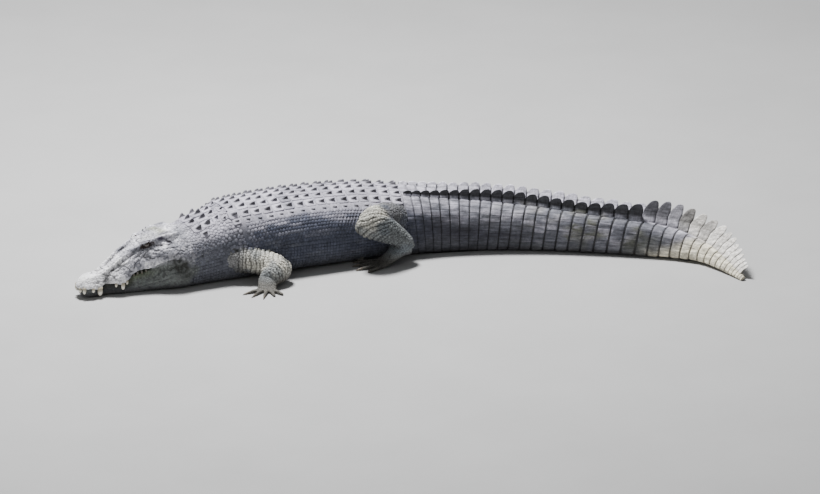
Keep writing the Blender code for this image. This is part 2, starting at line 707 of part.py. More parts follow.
def build_legs(trunk_tool):
    """Two legs a side."""
    for side, word in ((1, "left"), (-1, "right")):
        joints = [place(joint[0], side * joint[1], joint[2]) for joint in FORELEG[word]]
        build_leg(("upper_arm", "forearm", "hand", "front", word), joints, side,
                  (UPPER_ARM, FOREARM), Vector((0.0, 0.0, 1.0)), HAND, trunk_tool)
        joints = [place(joint[0], side * joint[1], joint[2]) for joint in HIND_LEG[word]]
        sideways = backbone_frame(HIND_LEG[word][1][0])[2]
        build_leg(("thigh", "shank", "foot", "hind", word), joints, side,
                  (THIGH, SHANK), sideways, FOOT, trunk_tool)


# ---------------------------------------------------------------- assembly
def clear_scene():
    """Start from nothing."""
    for thing in list(bpy.data.objects):
        bpy.data.objects.remove(thing, do_unlink=True)


def centre_on_origin():
    """Bring the middle of the footprint to the origin; tools move with the rest."""
    points = [v.co for thing in bpy.data.objects if not thing.hide_render
              for v in thing.data.vertices]
    middle_x = (min(p.x for p in points) + max(p.x for p in points)) / 2
    middle_y = (min(p.y for p in points) + max(p.y for p in points)) / 2
    for thing in bpy.data.objects:
        for vertex in thing.data.vertices:
            vertex.co.x -= middle_x
            vertex.co.y -= middle_y


def main():
    """Build the whole animal."""
    clear_scene()
    build_head()
    build_neck_and_trunk()
    build_tail()
    build_legs(body_tool())
    centre_on_origin()


main()
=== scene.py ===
# %% [markdown]
# # A saltwater crocodile, life size
#
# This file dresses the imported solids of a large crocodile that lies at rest. The solids give the
# outline of each part. Here they get one unbroken skin, a coat of solid scales, eyes, teeth and
# claws, and then a floor, soft lights and a camera. Everything is in metres, with Z up. The head
# points towards -X, and the animal's left side faces -Y.

# %% Load the frame and note its box
import itertools
import math

import bmesh
import bpy
import numpy as np
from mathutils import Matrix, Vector, kdtree
from mathutils.bvhtree import BVHTree


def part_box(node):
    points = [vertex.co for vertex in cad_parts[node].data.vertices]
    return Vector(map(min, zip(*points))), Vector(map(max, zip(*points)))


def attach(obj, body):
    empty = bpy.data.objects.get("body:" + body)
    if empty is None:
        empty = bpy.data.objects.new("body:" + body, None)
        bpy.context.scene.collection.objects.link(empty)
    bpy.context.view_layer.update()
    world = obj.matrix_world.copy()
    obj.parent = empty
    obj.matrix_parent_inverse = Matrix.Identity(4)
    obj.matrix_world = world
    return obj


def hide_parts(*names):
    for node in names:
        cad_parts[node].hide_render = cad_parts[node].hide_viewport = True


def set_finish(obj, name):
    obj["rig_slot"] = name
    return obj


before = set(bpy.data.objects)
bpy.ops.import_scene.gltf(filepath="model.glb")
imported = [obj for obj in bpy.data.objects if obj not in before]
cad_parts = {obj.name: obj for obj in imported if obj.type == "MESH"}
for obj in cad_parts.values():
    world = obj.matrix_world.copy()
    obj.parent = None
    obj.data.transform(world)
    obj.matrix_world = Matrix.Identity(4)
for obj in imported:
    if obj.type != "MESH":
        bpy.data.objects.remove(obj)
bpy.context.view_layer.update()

FLESH = [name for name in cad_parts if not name.startswith(("eye_", "claw_"))]
print("nodes of flesh:", len(FLESH))

# %% [markdown]
# ## Curves that give the body its form
#
# A long body is easiest to describe as sections strung on a backbone. Each size, such as the half
# width, is a short list of (station, value) knots, and a station is the distance from the tip of
# the snout along the backbone. The curve through the knots is smooth and never swings past them,
# so a bulge appears only where a knot asks for one.

# %% Smooth curves through knots
TOTAL_LENGTH = 4.46


def knot_slopes(x, y):
    """The harmonic mean of the two neighbouring slopes, and 0 at a turning point."""
    steps = np.diff(y) / np.diff(x)
    slopes = np.zeros(len(x))
    slopes[0] = steps[0]
    slopes[-1] = steps[-1]
    both = steps[:-1] * steps[1:]
    safe = np.where(both > 0, steps[:-1] + steps[1:], 1.0)
    slopes[1:-1] = np.where(both > 0, 2 * both / safe, 0.0)
    return slopes


def curve(knots, station):
    """Read the smooth curve at one station or at many."""
    x, y = np.array(knots, float).T
    s = np.clip(np.asarray(station, float), x[0], x[-1])
    index = np.clip(np.searchsorted(x, s, side="right") - 1, 0, len(x) - 2)
    slopes = knot_slopes(x, y)
    span = x[index + 1] - x[index]
    t = (s - x[index]) / span
    return ((2 * t ** 3 - 3 * t ** 2 + 1) * y[index] + (t ** 3 - 2 * t ** 2 + t) * slopes[index] * span
            + (3 * t ** 2 - 2 * t ** 3) * y[index + 1] + (t ** 3 - t ** 2) * slopes[index + 1] * span)


def at(knots, station):
    """One value of a curve as a plain number."""
    return float(curve(knots, station))


def fade(value, low, high):
    """0 below low, 1 above high, smooth between; low may be the larger."""
    share = np.clip((value - low) / (high - low), 0.0, 1.0)
    return share * share * (3 - 2 * share)


HEADING = ((0.0, 29), (0.65, 28), (1.05, 29), (1.6, 22.5), (2.1, 11), (2.45, 4), (2.8, -3), (3.35, -13),
           (3.75, -20), (3.98, -32), (4.16, -52), (4.46, -57))
ARCH_POWER = ((0.68, 2.3), (2.1, 2.3), (2.7, 3.2), (3.4, 3.6), (3.9, 3.0), (4.46, 2.3))
HALF_WIDTH = ((0.68, 0.205), (0.85, 0.212), (1.05, 0.25), (1.35, 0.288), (1.62, 0.296), (1.9, 0.268),
              (2.12, 0.23), (2.4, 0.186), (2.9, 0.15), (3.43, 0.112), (3.8, 0.08), (4.15, 0.046),
              (4.46, 0.012))
TOP_HEIGHT = ((0.68, 0.345), (0.85, 0.388), (1.02, 0.444), (1.35, 0.44), (1.62, 0.432), (1.9, 0.422),
              (2.12, 0.395), (2.4, 0.352), (2.9, 0.296), (3.4, 0.246), (3.8, 0.196), (4.12, 0.116),
              (4.46, 0.03))
SIDE_HEIGHT = ((0.68, 0.165), (1.05, 0.185), (1.6, 0.175), (2.12, 0.165), (2.6, 0.15), (3.43, 0.115),
               (3.9, 0.075), (4.46, 0.014))
BELLY_FLAT = ((0.68, 0.125), (1.05, 0.138), (1.6, 0.138), (2.05, 0.125), (2.4, 0.1), (3.43, 0.058),
              (4.0, 0.032), (4.46, 0.006))
TAIL_ROLL = ((3.3, 0), (3.66, 4), (3.9, 12), (4.12, 28), (4.46, 36))
print("half width at the belly:", round(at(HALF_WIDTH, 1.62), 3))

# %% [markdown]
# ## The backbone
#
# The backbone is laid out in plan by walking along it and turning as the heading says. It starts
# at the tip of the snout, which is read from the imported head, so the walk lands where the solids
# are. Sideways distances are called offsets, and they grow towards the animal's left.

# %% Walk along the backbone
STEPS = 1784
STEP = TOTAL_LENGTH / STEPS


def tip_of_snout():
    """Where the backbone starts: the middle of the head's foremost edge."""
    points = np.array([v.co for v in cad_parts["head"].data.vertices])
    angle = math.radians(HEADING[0][1])
    ahead = points[:, 0] * math.cos(angle) + points[:, 1] * math.sin(angle)
    sideways = points[:, 0] * math.sin(angle) - points[:, 1] * math.cos(angle)
    front = ahead < ahead.min() + 0.0005
    middle = (sideways[front].min() + sideways[front].max()) / 2
    first = ahead.min()
    return np.array([first * math.cos(angle) + middle * math.sin(angle),
                     first * math.sin(angle) - middle * math.cos(angle)])


def lay_backbone():
    """Points of the backbone in plan, one every step."""
    stations = (np.arange(STEPS) + 0.5) * STEP
    angles = np.radians(curve(HEADING, stations))
    moves = np.stack([np.cos(angles), np.sin(angles)], axis=1) * STEP
    return np.concatenate([np.zeros((1, 2)), np.cumsum(moves, axis=0)]) + tip_of_snout()


BACKBONE = lay_backbone()
KNOT_STATIONS = np.arange(STEPS + 1) * STEP


def spine(station):
    """The backbone's x and y, and its heading as an angle."""
    x, y = (np.interp(station, KNOT_STATIONS, BACKBONE[:, axis]) for axis in (0, 1))
    return x, y, np.radians(curve(HEADING, station))


def place(station, offset, height, back=0.0):
    """Points from their stations, offsets and heights; back shifts them tailwards."""
    station, offset, height, back = np.broadcast_arrays(station, offset, height, back)
    x, y, angle = spine(station)
    return np.stack([x + back * np.cos(angle) + offset * np.sin(angle),
                     y + back * np.sin(angle) - offset * np.cos(angle), height], axis=-1)


def locate(points):
    """The reverse of place: the station and offset of each point."""
    stations = np.empty(len(points))
    offsets = np.empty(len(points))
    for start in range(0, len(points), 4000):
        part = points[start:start + 4000, :2]
        gaps = ((part[:, None, :] - BACKBONE[None, ::8, :]) ** 2).sum(axis=2)
        nearest = KNOT_STATIONS[::8][gaps.argmin(axis=1)]
        x, y, angle = spine(nearest)
        dx = part[:, 0] - x
        dy = part[:, 1] - y
        stations[start:start + 4000] = nearest + dx * np.cos(angle) + dy * np.sin(angle)
        offsets[start:start + 4000] = dx * np.sin(angle) - dy * np.cos(angle)
    return stations, offsets


print("the snout's tip:", [round(float(c), 3) for c in BACKBONE[0]])
print("the tail's tip:", [round(float(c), 3) for c in BACKBONE[-1]])

# %% [markdown]
# ## The body as a wrapped sheet
#
# From the nape to the tail's tip, a section is a flat on the floor, a round flank and a broad low
# arch of a back. Every section is walked from the middle of the back round to the middle of the
# belly, and cut into steps of equal length. That gives the body two handy coordinates: the
# station, and the girth, which is 0 on the spine, 1 under the belly on the left side and -1 there
# on the right. The rows of scales and the markings are both laid out in them.

# %% Sections of neck, trunk and tail
GIRTH_STEPS = 48
GRID_STATIONS = np.concatenate([np.linspace(0.66, 3.6, 246), np.linspace(3.612, 4.455, 90)])


def half_section(station, points=160):
    """Offsets and heights from the middle of the back to the middle of the belly."""
    half = at(HALF_WIDTH, station)
    side = at(SIDE_HEIGHT, station)
    top = at(TOP_HEIGHT, station)
    flat = at(BELLY_FLAT, station)
    turn = np.linspace(math.pi / 2, 0, points)
    power = 2 / at(ARCH_POWER, station)
    over = np.stack([half * np.cos(turn).clip(0) ** power,
                     side + (top - side) * np.sin(turn) ** power], axis=1)
    turn = np.linspace(math.pi / 2, 0, points)[1:]
    under = np.stack([flat + (half - flat) * np.sin(turn) ** 0.85,
                      side - side * np.cos(turn) ** 0.85], axis=1)
    return np.concatenate([over, under, [[0.0, 0.0]]])


def roll_over(station, offsets, heights):
    """Roll the tail's end over to the right and rest it on its edge."""
    angle = math.radians(at(TAIL_ROLL, station))
    lean = offsets * math.cos(angle) - heights * math.sin(angle)
    rise = offsets * math.sin(angle) + heights * math.cos(angle)
    return lean, rise


def body_sheet():
    """The grid of points: stations by girth."""
    girth = np.linspace(0, 1, GIRTH_STEPS + 1)
    rows = []
    for station in GRID_STATIONS:
        half = half_section(station)
        steps = np.hypot(*np.diff(half, axis=0).T)
        walked = np.concatenate([[0], np.cumsum(steps)]) / steps.sum()
        offset = np.interp(girth, walked, half[:, 0])
        height = np.interp(girth, walked, half[:, 1])
        offset = np.concatenate([-offset[:0:-1], offset])
        height = np.concatenate([height[:0:-1], height])
        offset, height = roll_over(station, offset, height)
        angle = math.radians(at(TAIL_ROLL, station))
        height = np.maximum(height - height.min() - 0.012 * math.sin(angle), 0.0)
        rows.append(place(station, offset, height))
    return np.array(rows)


SHEET = body_sheet()
HALF_GIRTH = np.linalg.norm(np.diff(SHEET, axis=1), axis=2).sum(axis=1) / 2


def on_sheet(station, girth):
    """Positions on the body's sheet, and the directions tailwards and to the left there."""
    station = np.asarray(station, float)
    row = np.interp(station, GRID_STATIONS, np.arange(len(GRID_STATIONS)))
    column = (np.asarray(girth, float) + 1) / 2 * (SHEET.shape[1] - 1)
    row = np.clip(row, 0, len(GRID_STATIONS) - 1.001)
    column = np.clip(column, 0, SHEET.shape[1] - 1.001)
    r = row.astype(int)
    c = column.astype(int)
    fr = (row - r)[:, None]
    fc = (column - c)[:, None]
    a, b = SHEET[r, c], SHEET[r, c + 1]
    d, e = SHEET[r + 1, c], SHEET[r + 1, c + 1]
    point = (a * (1 - fc) + b * fc) * (1 - fr) + (d * (1 - fc) + e * fc) * fr
    along = (d - a) * (1 - fc) + (e - b) * fc
    across = (b - a) * (1 - fr) + (e - d) * fr
    along /= np.linalg.norm(along, axis=1)[:, None]
    across /= np.linalg.norm(across, axis=1)[:, None]
    return point, along, across


print("the body's sheet:", SHEET.shape, "widest half girth", round(float(HALF_GIRTH.max()), 3))

# %% [markdown]
# ## The head and the lower jaw
#
# A crocodile's head is a flat wedge of bone with hide drawn tight over it: two ridges run from the
# eyes to the snout, and the skull table behind them is a raised slab. Its sections are drawn with
# a handful of points, and a Catmull-Rom curve rounds them. The corner at the lip stays sharp,
# because the upper jaw overhangs the lower one, and that edge is the line of the closed mouth.

# %% Sections of the head
HEAD_END = 0.68
JAW_INSET = 0.018
LIP_WIDTH = ((0.0, 0.016), (0.014, 0.042), (0.036, 0.062), (0.075, 0.074), (0.12, 0.071), (0.16, 0.059),
             (0.205, 0.082), (0.255, 0.104), (0.305, 0.104), (0.38, 0.106), (0.45, 0.124),
             (0.52, 0.156), (0.6, 0.19), (0.68, 0.203))
UPPER_LIP = ((0.0, 0.062), (0.05, 0.068), (0.12, 0.056), (0.162, 0.076), (0.21, 0.08), (0.26, 0.073),
             (0.3, 0.098), (0.345, 0.136), (0.4, 0.149), (0.45, 0.15), (0.5, 0.178), (0.56, 0.196),
             (0.6, 0.198), (0.68, 0.18))
MOUTH_OPENING = ((0.0, 0.0), (0.305, 0.0), (0.345, 0.024), (0.4, 0.03), (0.445, 0.014), (0.48, 0.0),
                 (0.68, 0.0))
RIDGE_OFFSET = ((0.0, 0.007), (0.03, 0.03), (0.075, 0.041), (0.12, 0.041), (0.2, 0.045), (0.3, 0.051),
                (0.38, 0.062), (0.43, 0.076), (0.48, 0.083), (0.54, 0.091), (0.61, 0.098),
                (0.645, 0.096), (0.68, 0.1))
RIDGE_HEIGHT = ((0.0, 0.086), (0.03, 0.117), (0.075, 0.136), (0.12, 0.139), (0.16, 0.152),
                (0.214, 0.182), (0.266, 0.218), (0.336, 0.262), (0.4, 0.293), (0.44, 0.318),
                (0.485, 0.324), (0.54, 0.337), (0.61, 0.342), (0.645, 0.338), (0.68, 0.335))
RIDGE_SINK = ((0.0, 0.0), (0.06, 0.004), (0.12, 0.006), (0.3, 0.009), (0.43, 0.018), (0.5, 0.01),
              (0.6, 0.004), (0.68, -0.01))
CHEEK_BULGE = ((0.0, 0.004), (0.12, 0.01), (0.25, 0.014), (0.4, 0.014), (0.5, 0.026), (0.6, 0.034),
               (0.68, 0.03))
TEMPLE_BULGE = ((0.0, 0.003), (0.25, 0.006), (0.4, 0.004), (0.5, -0.006), (0.6, 0.002), (0.68, 0.04))
JOWL_WIDTH = ((0.018, 0.02), (0.05, 0.048), (0.12, 0.053), (0.16, 0.053), (0.222, 0.07), (0.262, 0.084),
              (0.3, 0.091), (0.4, 0.12), (0.5, 0.158), (0.6, 0.196), (0.68, 0.205))
JAW_FLAT = ((0.018, 0.008), (0.05, 0.03), (0.2, 0.044), (0.4, 0.085), (0.68, 0.13))
CHIN_RISE = ((0.018, 0.03), (0.038, 0.01), (0.07, 0.0), (0.68, 0.0))


def rounded(points, steps=6):
    """A Catmull-Rom curve through points; both ends are kept."""
    p = np.array(points, float)
    p = np.concatenate([[2 * p[0] - p[1]], p, [2 * p[-1] - p[-2]]])
    t = (np.arange(steps) / steps)[:, None]
    spans = []
    for a, b, c, d in zip(p, p[1:], p[2:], p[3:]):
        spans.append(0.5 * (2 * b + (c - a) * t + (2 * a - 5 * b + 4 * c - d) * t ** 2
                            + (3 * b - a - 3 * c + d) * t ** 3))
    return np.concatenate(spans + [p[-2:-1]])


def neck_height(offset):
    """Height of the neck's back where the head meets it."""
    share = np.clip(abs(offset) / 0.205, 0, 1)
    return 0.165 + 0.18 * (1 - share ** 2.3) ** (1 / 2.3)


def skull_section(station):
    """Half a section from the middle of the palate round the lip to the middle of the crown."""
    lip = at(LIP_WIDTH, station)
    low = at(UPPER_LIP, station)
    ridge = at(RIDGE_OFFSET, station)
    high = at(RIDGE_HEIGHT, station)
    cheek = at(CHEEK_BULGE, station)
    temple = at(TEMPLE_BULGE, station)
    crown = high - at(RIDGE_SINK, station)
    side = [(lip, low)]
    for share, bulge in ((0.22, 0.8 * cheek), (0.48, cheek), (0.76, temple)):
        side.append((lip + (ridge - lip) * share + bulge, low + (high - low) * share))
    side += [(ridge, high), (0.55 * ridge, 0.4 * high + 0.6 * crown), (0.0, crown)]
    blend = float(fade(station, 0.62, HEAD_END))
    side = [(o, h if h <= low else h + (float(neck_height(o)) - h) * blend) for o, h in side]
    palate = [(lip * share, low) for share in (0.0, 0.35, 0.7)]
    return np.concatenate([palate, rounded(side)])


def jaw_section(station):
    """Half a section from the middle of the throat round the lip to the mouth's floor."""
    jowl = at(JOWL_WIDTH, station)
    flat = at(JAW_FLAT, station)
    low = at(CHIN_RISE, station)
    high = at(UPPER_LIP, station) - at(MOUTH_OPENING, station) - 0.0005
    inset = JAW_INSET * (1 - float(fade(station, 0.45, 0.68)))
    lip = max(at(LIP_WIDTH, station) - inset, 0.01)
    side = [(flat, low)]
    for angle in (30, 60, 90):
        turn = math.radians(angle)
        side.append((flat + (jowl - flat) * math.sin(turn) ** 0.9,
                     low + 0.5 * (high - low) * (1 - math.cos(turn))))
    side += [(0.35 * jowl + 0.65 * lip, low + 0.8 * (high - low)), (lip, high)]
    floor = [(lip * share, high) for share in (0.7, 0.35, 0.0)]
    return np.concatenate([[(0.0, low), (0.5 * flat, low)], rounded(side), floor])


def add_object(name, data):
    """A new object in the scene that shows this mesh, lamp or camera."""
    thing = bpy.data.objects.new(name, data)
    bpy.context.scene.collection.objects.link(thing)
    return thing


def tube(name, rings):
    """A closed mesh from rings of points, with a cap on each end."""
    rings = np.array(rings)
    rows, columns = rings.shape[:2]
    index = np.arange(rows * columns).reshape(rows, columns)
    following = np.roll(index, -1, axis=1)
    quads = np.stack([index[:-1], following[:-1], following[1:], index[1:]], axis=-1).reshape(-1, 4)
    mesh = bpy.data.meshes.new(name)
    mesh.from_pydata(rings.reshape(-1, 3).tolist(), [],
                     quads.tolist() + [index[0, ::-1].tolist(), index[-1].tolist()])
    bm = bmesh.new()
    bm.from_mesh(mesh)
    bmesh.ops.recalc_face_normals(bm, faces=bm.faces)
    bm.to_mesh(mesh)
    bm.free()
    return add_object(name, mesh)


def mirrored(station, half):
    """A full ring from half a section."""
    left = place(station, half[:, 0], half[:, 1])
    right = place(station, -half[1:-1, 0], half[1:-1, 1])
    return np.concatenate([left, right[::-1]])


skull_stations = np.concatenate([[0.0, 0.003, 0.007, 0.012, 0.018, 0.024],
                                 np.linspace(0.03, 0.679, 131)])
jaw_stations = np.concatenate([[0.018, 0.022, 0.027, 0.033], np.linspace(0.04, 0.679, 129)])
skull = tube("skull", [mirrored(s, skull_section(s)) for s in skull_stations])
jaw = tube("jaw", [mirrored(s, jaw_section(s)) for s in jaw_stations])
body = tube("body", SHEET[:, :-1])
for form in (skull, jaw, body):
    print(form.name + ":", len(form.data.vertices), "points")

# %% [markdown]
# ## One skin for the whole animal
#
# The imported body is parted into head, trunk, limbs and so on. A real hide has no such seams. So
# the smooth head, jaw and body are joined with copies of the limb solids, which are swollen a
# little first so that they overlap, and a voxel remesh melts them all into a single closed sheet.
# The limbs still have the facets of their solids after that, and smoothing takes those out.

# %% Join the forms and remesh them
LIMB_WORDS = ("upper_arm", "forearm", "hand", "thigh", "shank", "foot")
LIMB_NODES = [name for name in FLESH if name.startswith(LIMB_WORDS)]
VOXEL = 0.0065
SWELL = 0.0015


def select_only(*things):
    """Deselect all, then select these and make the first one active."""
    bpy.ops.object.select_all(action="DESELECT")
    for thing in things:
        thing.select_set(True)
    bpy.context.view_layer.objects.active = things[0]


def apply(thing, kind, **settings):
    """Give an object one modifier with these settings and apply it."""
    modifier = thing.modifiers.new(kind.lower(), kind)
    for name, value in settings.items():
        setattr(modifier, name, value)
    select_only(thing)
    bpy.ops.object.modifier_apply(modifier=modifier.name)


def limb_copy(name):
    """A merged, slightly swollen copy of a limb solid."""
    thing = add_object(name + "_form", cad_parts[name].data.copy())
    thing.data.materials.clear()
    select_only(thing)
    bpy.ops.object.mode_set(mode="EDIT")
    bpy.ops.mesh.select_all(action="SELECT")
    bpy.ops.mesh.remove_doubles(threshold=0.00002)
    bpy.ops.object.mode_set(mode="OBJECT")
    apply(thing, "DISPLACE", strength=SWELL, mid_level=0.0)
    return thing


forms = [skull, jaw, body] + [limb_copy(name) for name in LIMB_NODES]
select_only(*forms)
bpy.ops.object.join()
skin = bpy.context.active_object
skin.name = "skin"
apply(skin, "REMESH", mode="VOXEL", voxel_size=VOXEL)
print("skin after the remesh:", len(skin.data.vertices), "points")

# %% [markdown]
# ## Regions of the skin
#
# Smoothing, thickness of the coat, scales and colours all differ between the body, the head and
# the limbs. Each point of the skin gets a region once: a point close to a limb's solid belongs to
# that limb, and of the others those ahead of the nape belong to the head. A vertex group per
# region lets modifiers act on that region alone.

# %% Sort the skin's points into regions
BODY, HEAD, ARM_LEFT, ARM_RIGHT, LEG_LEFT, LEG_RIGHT = range(6)
LIMB_PARTS = {ARM_LEFT: ("upper_arm_left", "forearm_left", "hand_left"),
              ARM_RIGHT: ("upper_arm_right", "forearm_right", "hand_right"),
              LEG_LEFT: ("thigh_left", "shank_left", "foot_left"),
              LEG_RIGHT: ("thigh_right", "shank_right", "foot_right")}


def numbers(items, field, width=1, kind=np.int32):
    """One field of all vertices, corners or faces as an array."""
    flat = np.empty(len(items) * width, kind)
    items.foreach_get(field, flat)
    return flat.reshape(-1, width) if width > 1 else flat


def points_of(thing):
    """The vertices of a mesh object as an array."""
    return numbers(thing.data.vertices, "co", 3, np.float32).astype(float)


def move_points(thing, points):
    """Write the vertices back."""
    thing.data.vertices.foreach_set("co", points.astype(np.float32).ravel())
    thing.data.update()


def normals_of(thing):
    """The vertex normals of a mesh object."""
    return numbers(thing.data.vertices, "normal", 3, np.float32).astype(float)


def triangles_of(thing):
    """A row of three vertex numbers for each triangle of a mesh object."""
    thing.data.calc_loop_triangles()
    return numbers(thing.data.loop_triangles, "vertices", 3)


def tree_of(thing):
    """A search tree over a mesh object's surface."""
    return BVHTree.FromPolygons([v.co for v in thing.data.vertices], triangles_of(thing).tolist())


TREES = {name: tree_of(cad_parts[name]) for name in LIMB_NODES}


def regions_of(points, reach=0.01):
    """The region of each point, and whether it is on a hand or a foot."""
    region = np.where(locate(points)[0] < HEAD_END, HEAD, BODY)
    paw = np.zeros(len(points), bool)
    best = np.full(len(points), reach)
    for limb, names in LIMB_PARTS.items():
        for name in names:
            low, high = (np.array(corner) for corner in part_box(name))
            near = np.nonzero(((points > low - reach) & (points < high + reach)).all(axis=1))[0]
            for index in near:
                gap = TREES[name].find_nearest(points[index])[3]
                if gap is not None and gap < best[index]:
                    best[index] = gap
                    region[index] = limb
                    paw[index] = name.startswith(("hand", "foot"))
    return region, paw


def group_points(thing, name, weights):
    """A vertex group from an array of weights, in steps of a tenth."""
    group = thing.vertex_groups.new(name=name)
    steps = np.round(np.clip(weights, 0, 1) * 10).astype(int)
    for step in range(1, 11):
        group.add(np.nonzero(steps == step)[0].tolist(), step / 10, "REPLACE")


points = points_of(skin)
region, paw = regions_of(points)
station = locate(points)[0]
near_nape = np.where(region == HEAD, fade(station, 0.6, 0.66), fade(station, 0.76, 0.7))
for group, weights, rounds in (("limbs", ((region >= ARM_LEFT) & ~paw) * 1.0, 30),
                               ("paws", paw * 1.0, 3), ("seams", near_nape, 12)):
    group_points(skin, group, weights)
    apply(skin, "SMOOTH", factor=0.5, iterations=rounds, vertex_group=group)
print("limb points:", int((region >= ARM_LEFT).sum()), "paw points:", int(paw.sum()))

# %% [markdown]
# ## Room for the coat
#
# The scales are laid on the skin, and their tops should end where the solids end. So the skin is
# drawn in by the depth of the coat: a few millimetres on the body, less on the head and least on
# the legs. After that the flat and plain stretches lose points that they don't need, while the
# head keeps nearly all of its own, because its folds are modelled next.

# %% Draw the skin in and thin its mesh
COAT_DEPTH = {BODY: 0.0035, HEAD: 0.0015}
LEG_COAT_DEPTH = 0.0005
OFF_FLOOR = 0.0006
SKIN_TRIANGLES = 70000

points = points_of(skin)
depth = np.full(len(points), LEG_COAT_DEPTH)
for code, value in COAT_DEPTH.items():
    depth[region == code] = value
points -= normals_of(skin) * depth[:, None]
points[:, 2] = np.maximum(points[:, 2], OFF_FLOOR)
move_points(skin, points)
group_points(skin, "dense", np.where(region == HEAD, 0.92 * fade(station, 0.69, 0.6),
                                     np.where(paw, 0.9, (region >= ARM_LEFT) * 0.7)))
apply(skin, "DECIMATE", ratio=SKIN_TRIANGLES / len(triangles_of(skin)), vertex_group="dense",
      invert_vertex_group=True, vertex_group_factor=1.0)
print("skin after thinning:", len(skin.data.vertices), "points")

# %% [markdown]
# ## The face
#
# A crocodile's face is all bone under thin hide, so its character is in edges: the brow over each
# eye, two ridges down the snout, the sharp rim of the skull table with the ear flap under it, the
# raised disc of the nostrils, and the puckered fold where the mouth ends. Each is modelled as a
# sculptor would, by raising or sinking the skin along a line or round a point. Where an eye sits,
# the skin is pressed to the eyeball and opened in an almond, so that it forms both lids.

# %% Give the face more points
LIDS_REACH = 0.046


def add_points(thing, test):
    """Subdivide the faces whose middles pass a test."""
    select_only(thing)
    chosen = test(numbers(thing.data.polygons, "center", 3, np.float32).astype(float))
    bpy.ops.object.mode_set(mode="EDIT")
    bpy.ops.mesh.select_mode(type="FACE")
    bpy.ops.mesh.select_all(action="DESELECT")
    bpy.ops.object.mode_set(mode="OBJECT")
    thing.data.polygons.foreach_set("select", chosen)
    bpy.ops.object.mode_set(mode="EDIT")
    bpy.ops.mesh.subdivide(number_cuts=1, smoothness=0.6)
    bpy.ops.object.mode_set(mode="OBJECT")


EYES = {}
for word in ("left", "right"):
    low, high = (np.array(corner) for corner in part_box("eye_" + word))
    EYES[word] = (low + high) / 2
    EYE_RADIUS = float(high[2] - low[2]) / 2


def eye_gap(points):
    """Distance from each point to the middle of the nearer eye."""
    return np.minimum(*[np.linalg.norm(points - eye, axis=1) for eye in EYES.values()])


def near_eyes(centres):
    """True close to either eye."""
    return eye_gap(centres) < LIDS_REACH


def on_face(centres):
    """True on the head above the throat."""
    s, _ = locate(centres)
    return (s < 0.64) & (centres[:, 2] > 0.045)


for test in (on_face, near_eyes, near_eyes):
    add_points(skin, test)
print("skin with a fine face:", len(skin.data.vertices), "points")

# %% [markdown]
# ## Soft noise and relief lines
#
# Two tools shape the face. Soft noise is a sum of a few slow sine waves that run in random
# directions. A relief line is a short chain of knots: skin near the chain rises or sinks, most on
# the line itself and less to the sides. Both are used again later for folds and markings.

# %% Tools for relief
def waves(seed, count, size):
    """Random plane waves that add up to soft noise with features of about this size."""
    generator = np.random.default_rng(seed)
    directions = generator.normal(size=(count, 3))
    directions /= np.linalg.norm(directions, axis=1)[:, None]
    vectors = directions * (2 * math.pi / size) * generator.uniform(0.6, 1.7, (count, 1))
    return vectors, generator.uniform(0, 7, count)


def soft_noise(points, seed, size, count=14):
    """Smooth noise, mostly between -1 and 1."""
    vectors, phases = waves(seed, count, size)
    return np.sin(points @ vectors.T + phases).sum(axis=1) / math.sqrt(count) * 1.1


def near_line(points, knots):
    """Distance from each point to a line through knots, and how far along it the foot is."""
    knots = np.array(knots, float)
    best = np.full(len(points), 9.0)
    along = np.zeros(len(points))
    for index, (a, b) in enumerate(zip(knots, knots[1:])):
        t = np.clip(((points - a) @ (b - a)) / ((b - a) @ (b - a)), 0, 1)
        gap = np.linalg.norm(points - a - t[:, None] * (b - a), axis=1)
        closer = gap < best
        best[closer] = gap[closer]
        along[closer] = (index + t[closer]) / (len(knots) - 1)
    return best, along


def shifted(line, aside, up, along=0.0):
    """A copy of a line of (station, distance aside, height), moved by this much."""
    return [(s + along, o + aside, h + up) for s, o, h in line]


def line_shape(points, knots, width, amount):
    """A ridge, or with a negative amount a groove, that fades out at both ends."""
    gap, along = near_line(points, knots)
    ends = fade(along, 0.0, 0.12) * fade(along, 1.0, 0.88)
    return amount * np.exp(-(gap / width) ** 2) * ends


def bump(points, centre, radii, amount):
    """A soft mound or pit with its own radius along, across and up."""
    scaled = (points - np.array(centre)) / np.array(radii)
    return amount * np.exp(-(scaled ** 2).sum(axis=1))


print("soft noise at three places:", soft_noise(np.eye(3), 14, 0.018).round(2))

# %% [markdown]
# ## Reliefs of the face, the mouth and the nostrils
#
# The reliefs work on (station, distance aside, height), so one set of lines serves both sides of
# the head. Most lines are copies of the ridge or the lip, shifted by a centimetre or two. The
# grooves beside the ridges stray and break off with the noise, because worn bone is never even.

# %% Lines and mounds of the head
FACE_MOUNDS = (((0.64, 0.094, 0.338), (0.02, 0.016, 0.016), 0.009),
               ((0.565, 0.043, 0.34), (0.03, 0.02, 0.02), -0.0045),
               ((0.465, 0.0, 0.315), (0.06, 0.04, 0.03), -0.005),
               ((0.052, 0.0, 0.125), (0.032, 0.024, 0.03), 0.009),
               ((0.262, 0.104, 0.125), (0.028, 0.04, 0.034), 0.007),
               ((0.405, 0.12, 0.195), (0.035, 0.04, 0.028), 0.006),
               ((0.425, 0.108, 0.228), (0.02, 0.03, 0.012), -0.005),
               ((0.168, 0.056, 0.105), (0.022, 0.03, 0.04), -0.006))
BROW = ((0.392, 0.058, 0.29), (0.412, 0.073, 0.312), (0.438, 0.084, 0.323), (0.464, 0.088, 0.322),
        (0.49, 0.087, 0.318))
EAR_SLIT = ((0.456, 0.086, 0.297), (0.48, 0.098, 0.29), (0.51, 0.108, 0.283), (0.545, 0.116, 0.277))
EAR_CRESCENT = ((0.556, 0.112, 0.304), (0.58, 0.119, 0.293), (0.584, 0.126, 0.276),
                (0.56, 0.128, 0.264))
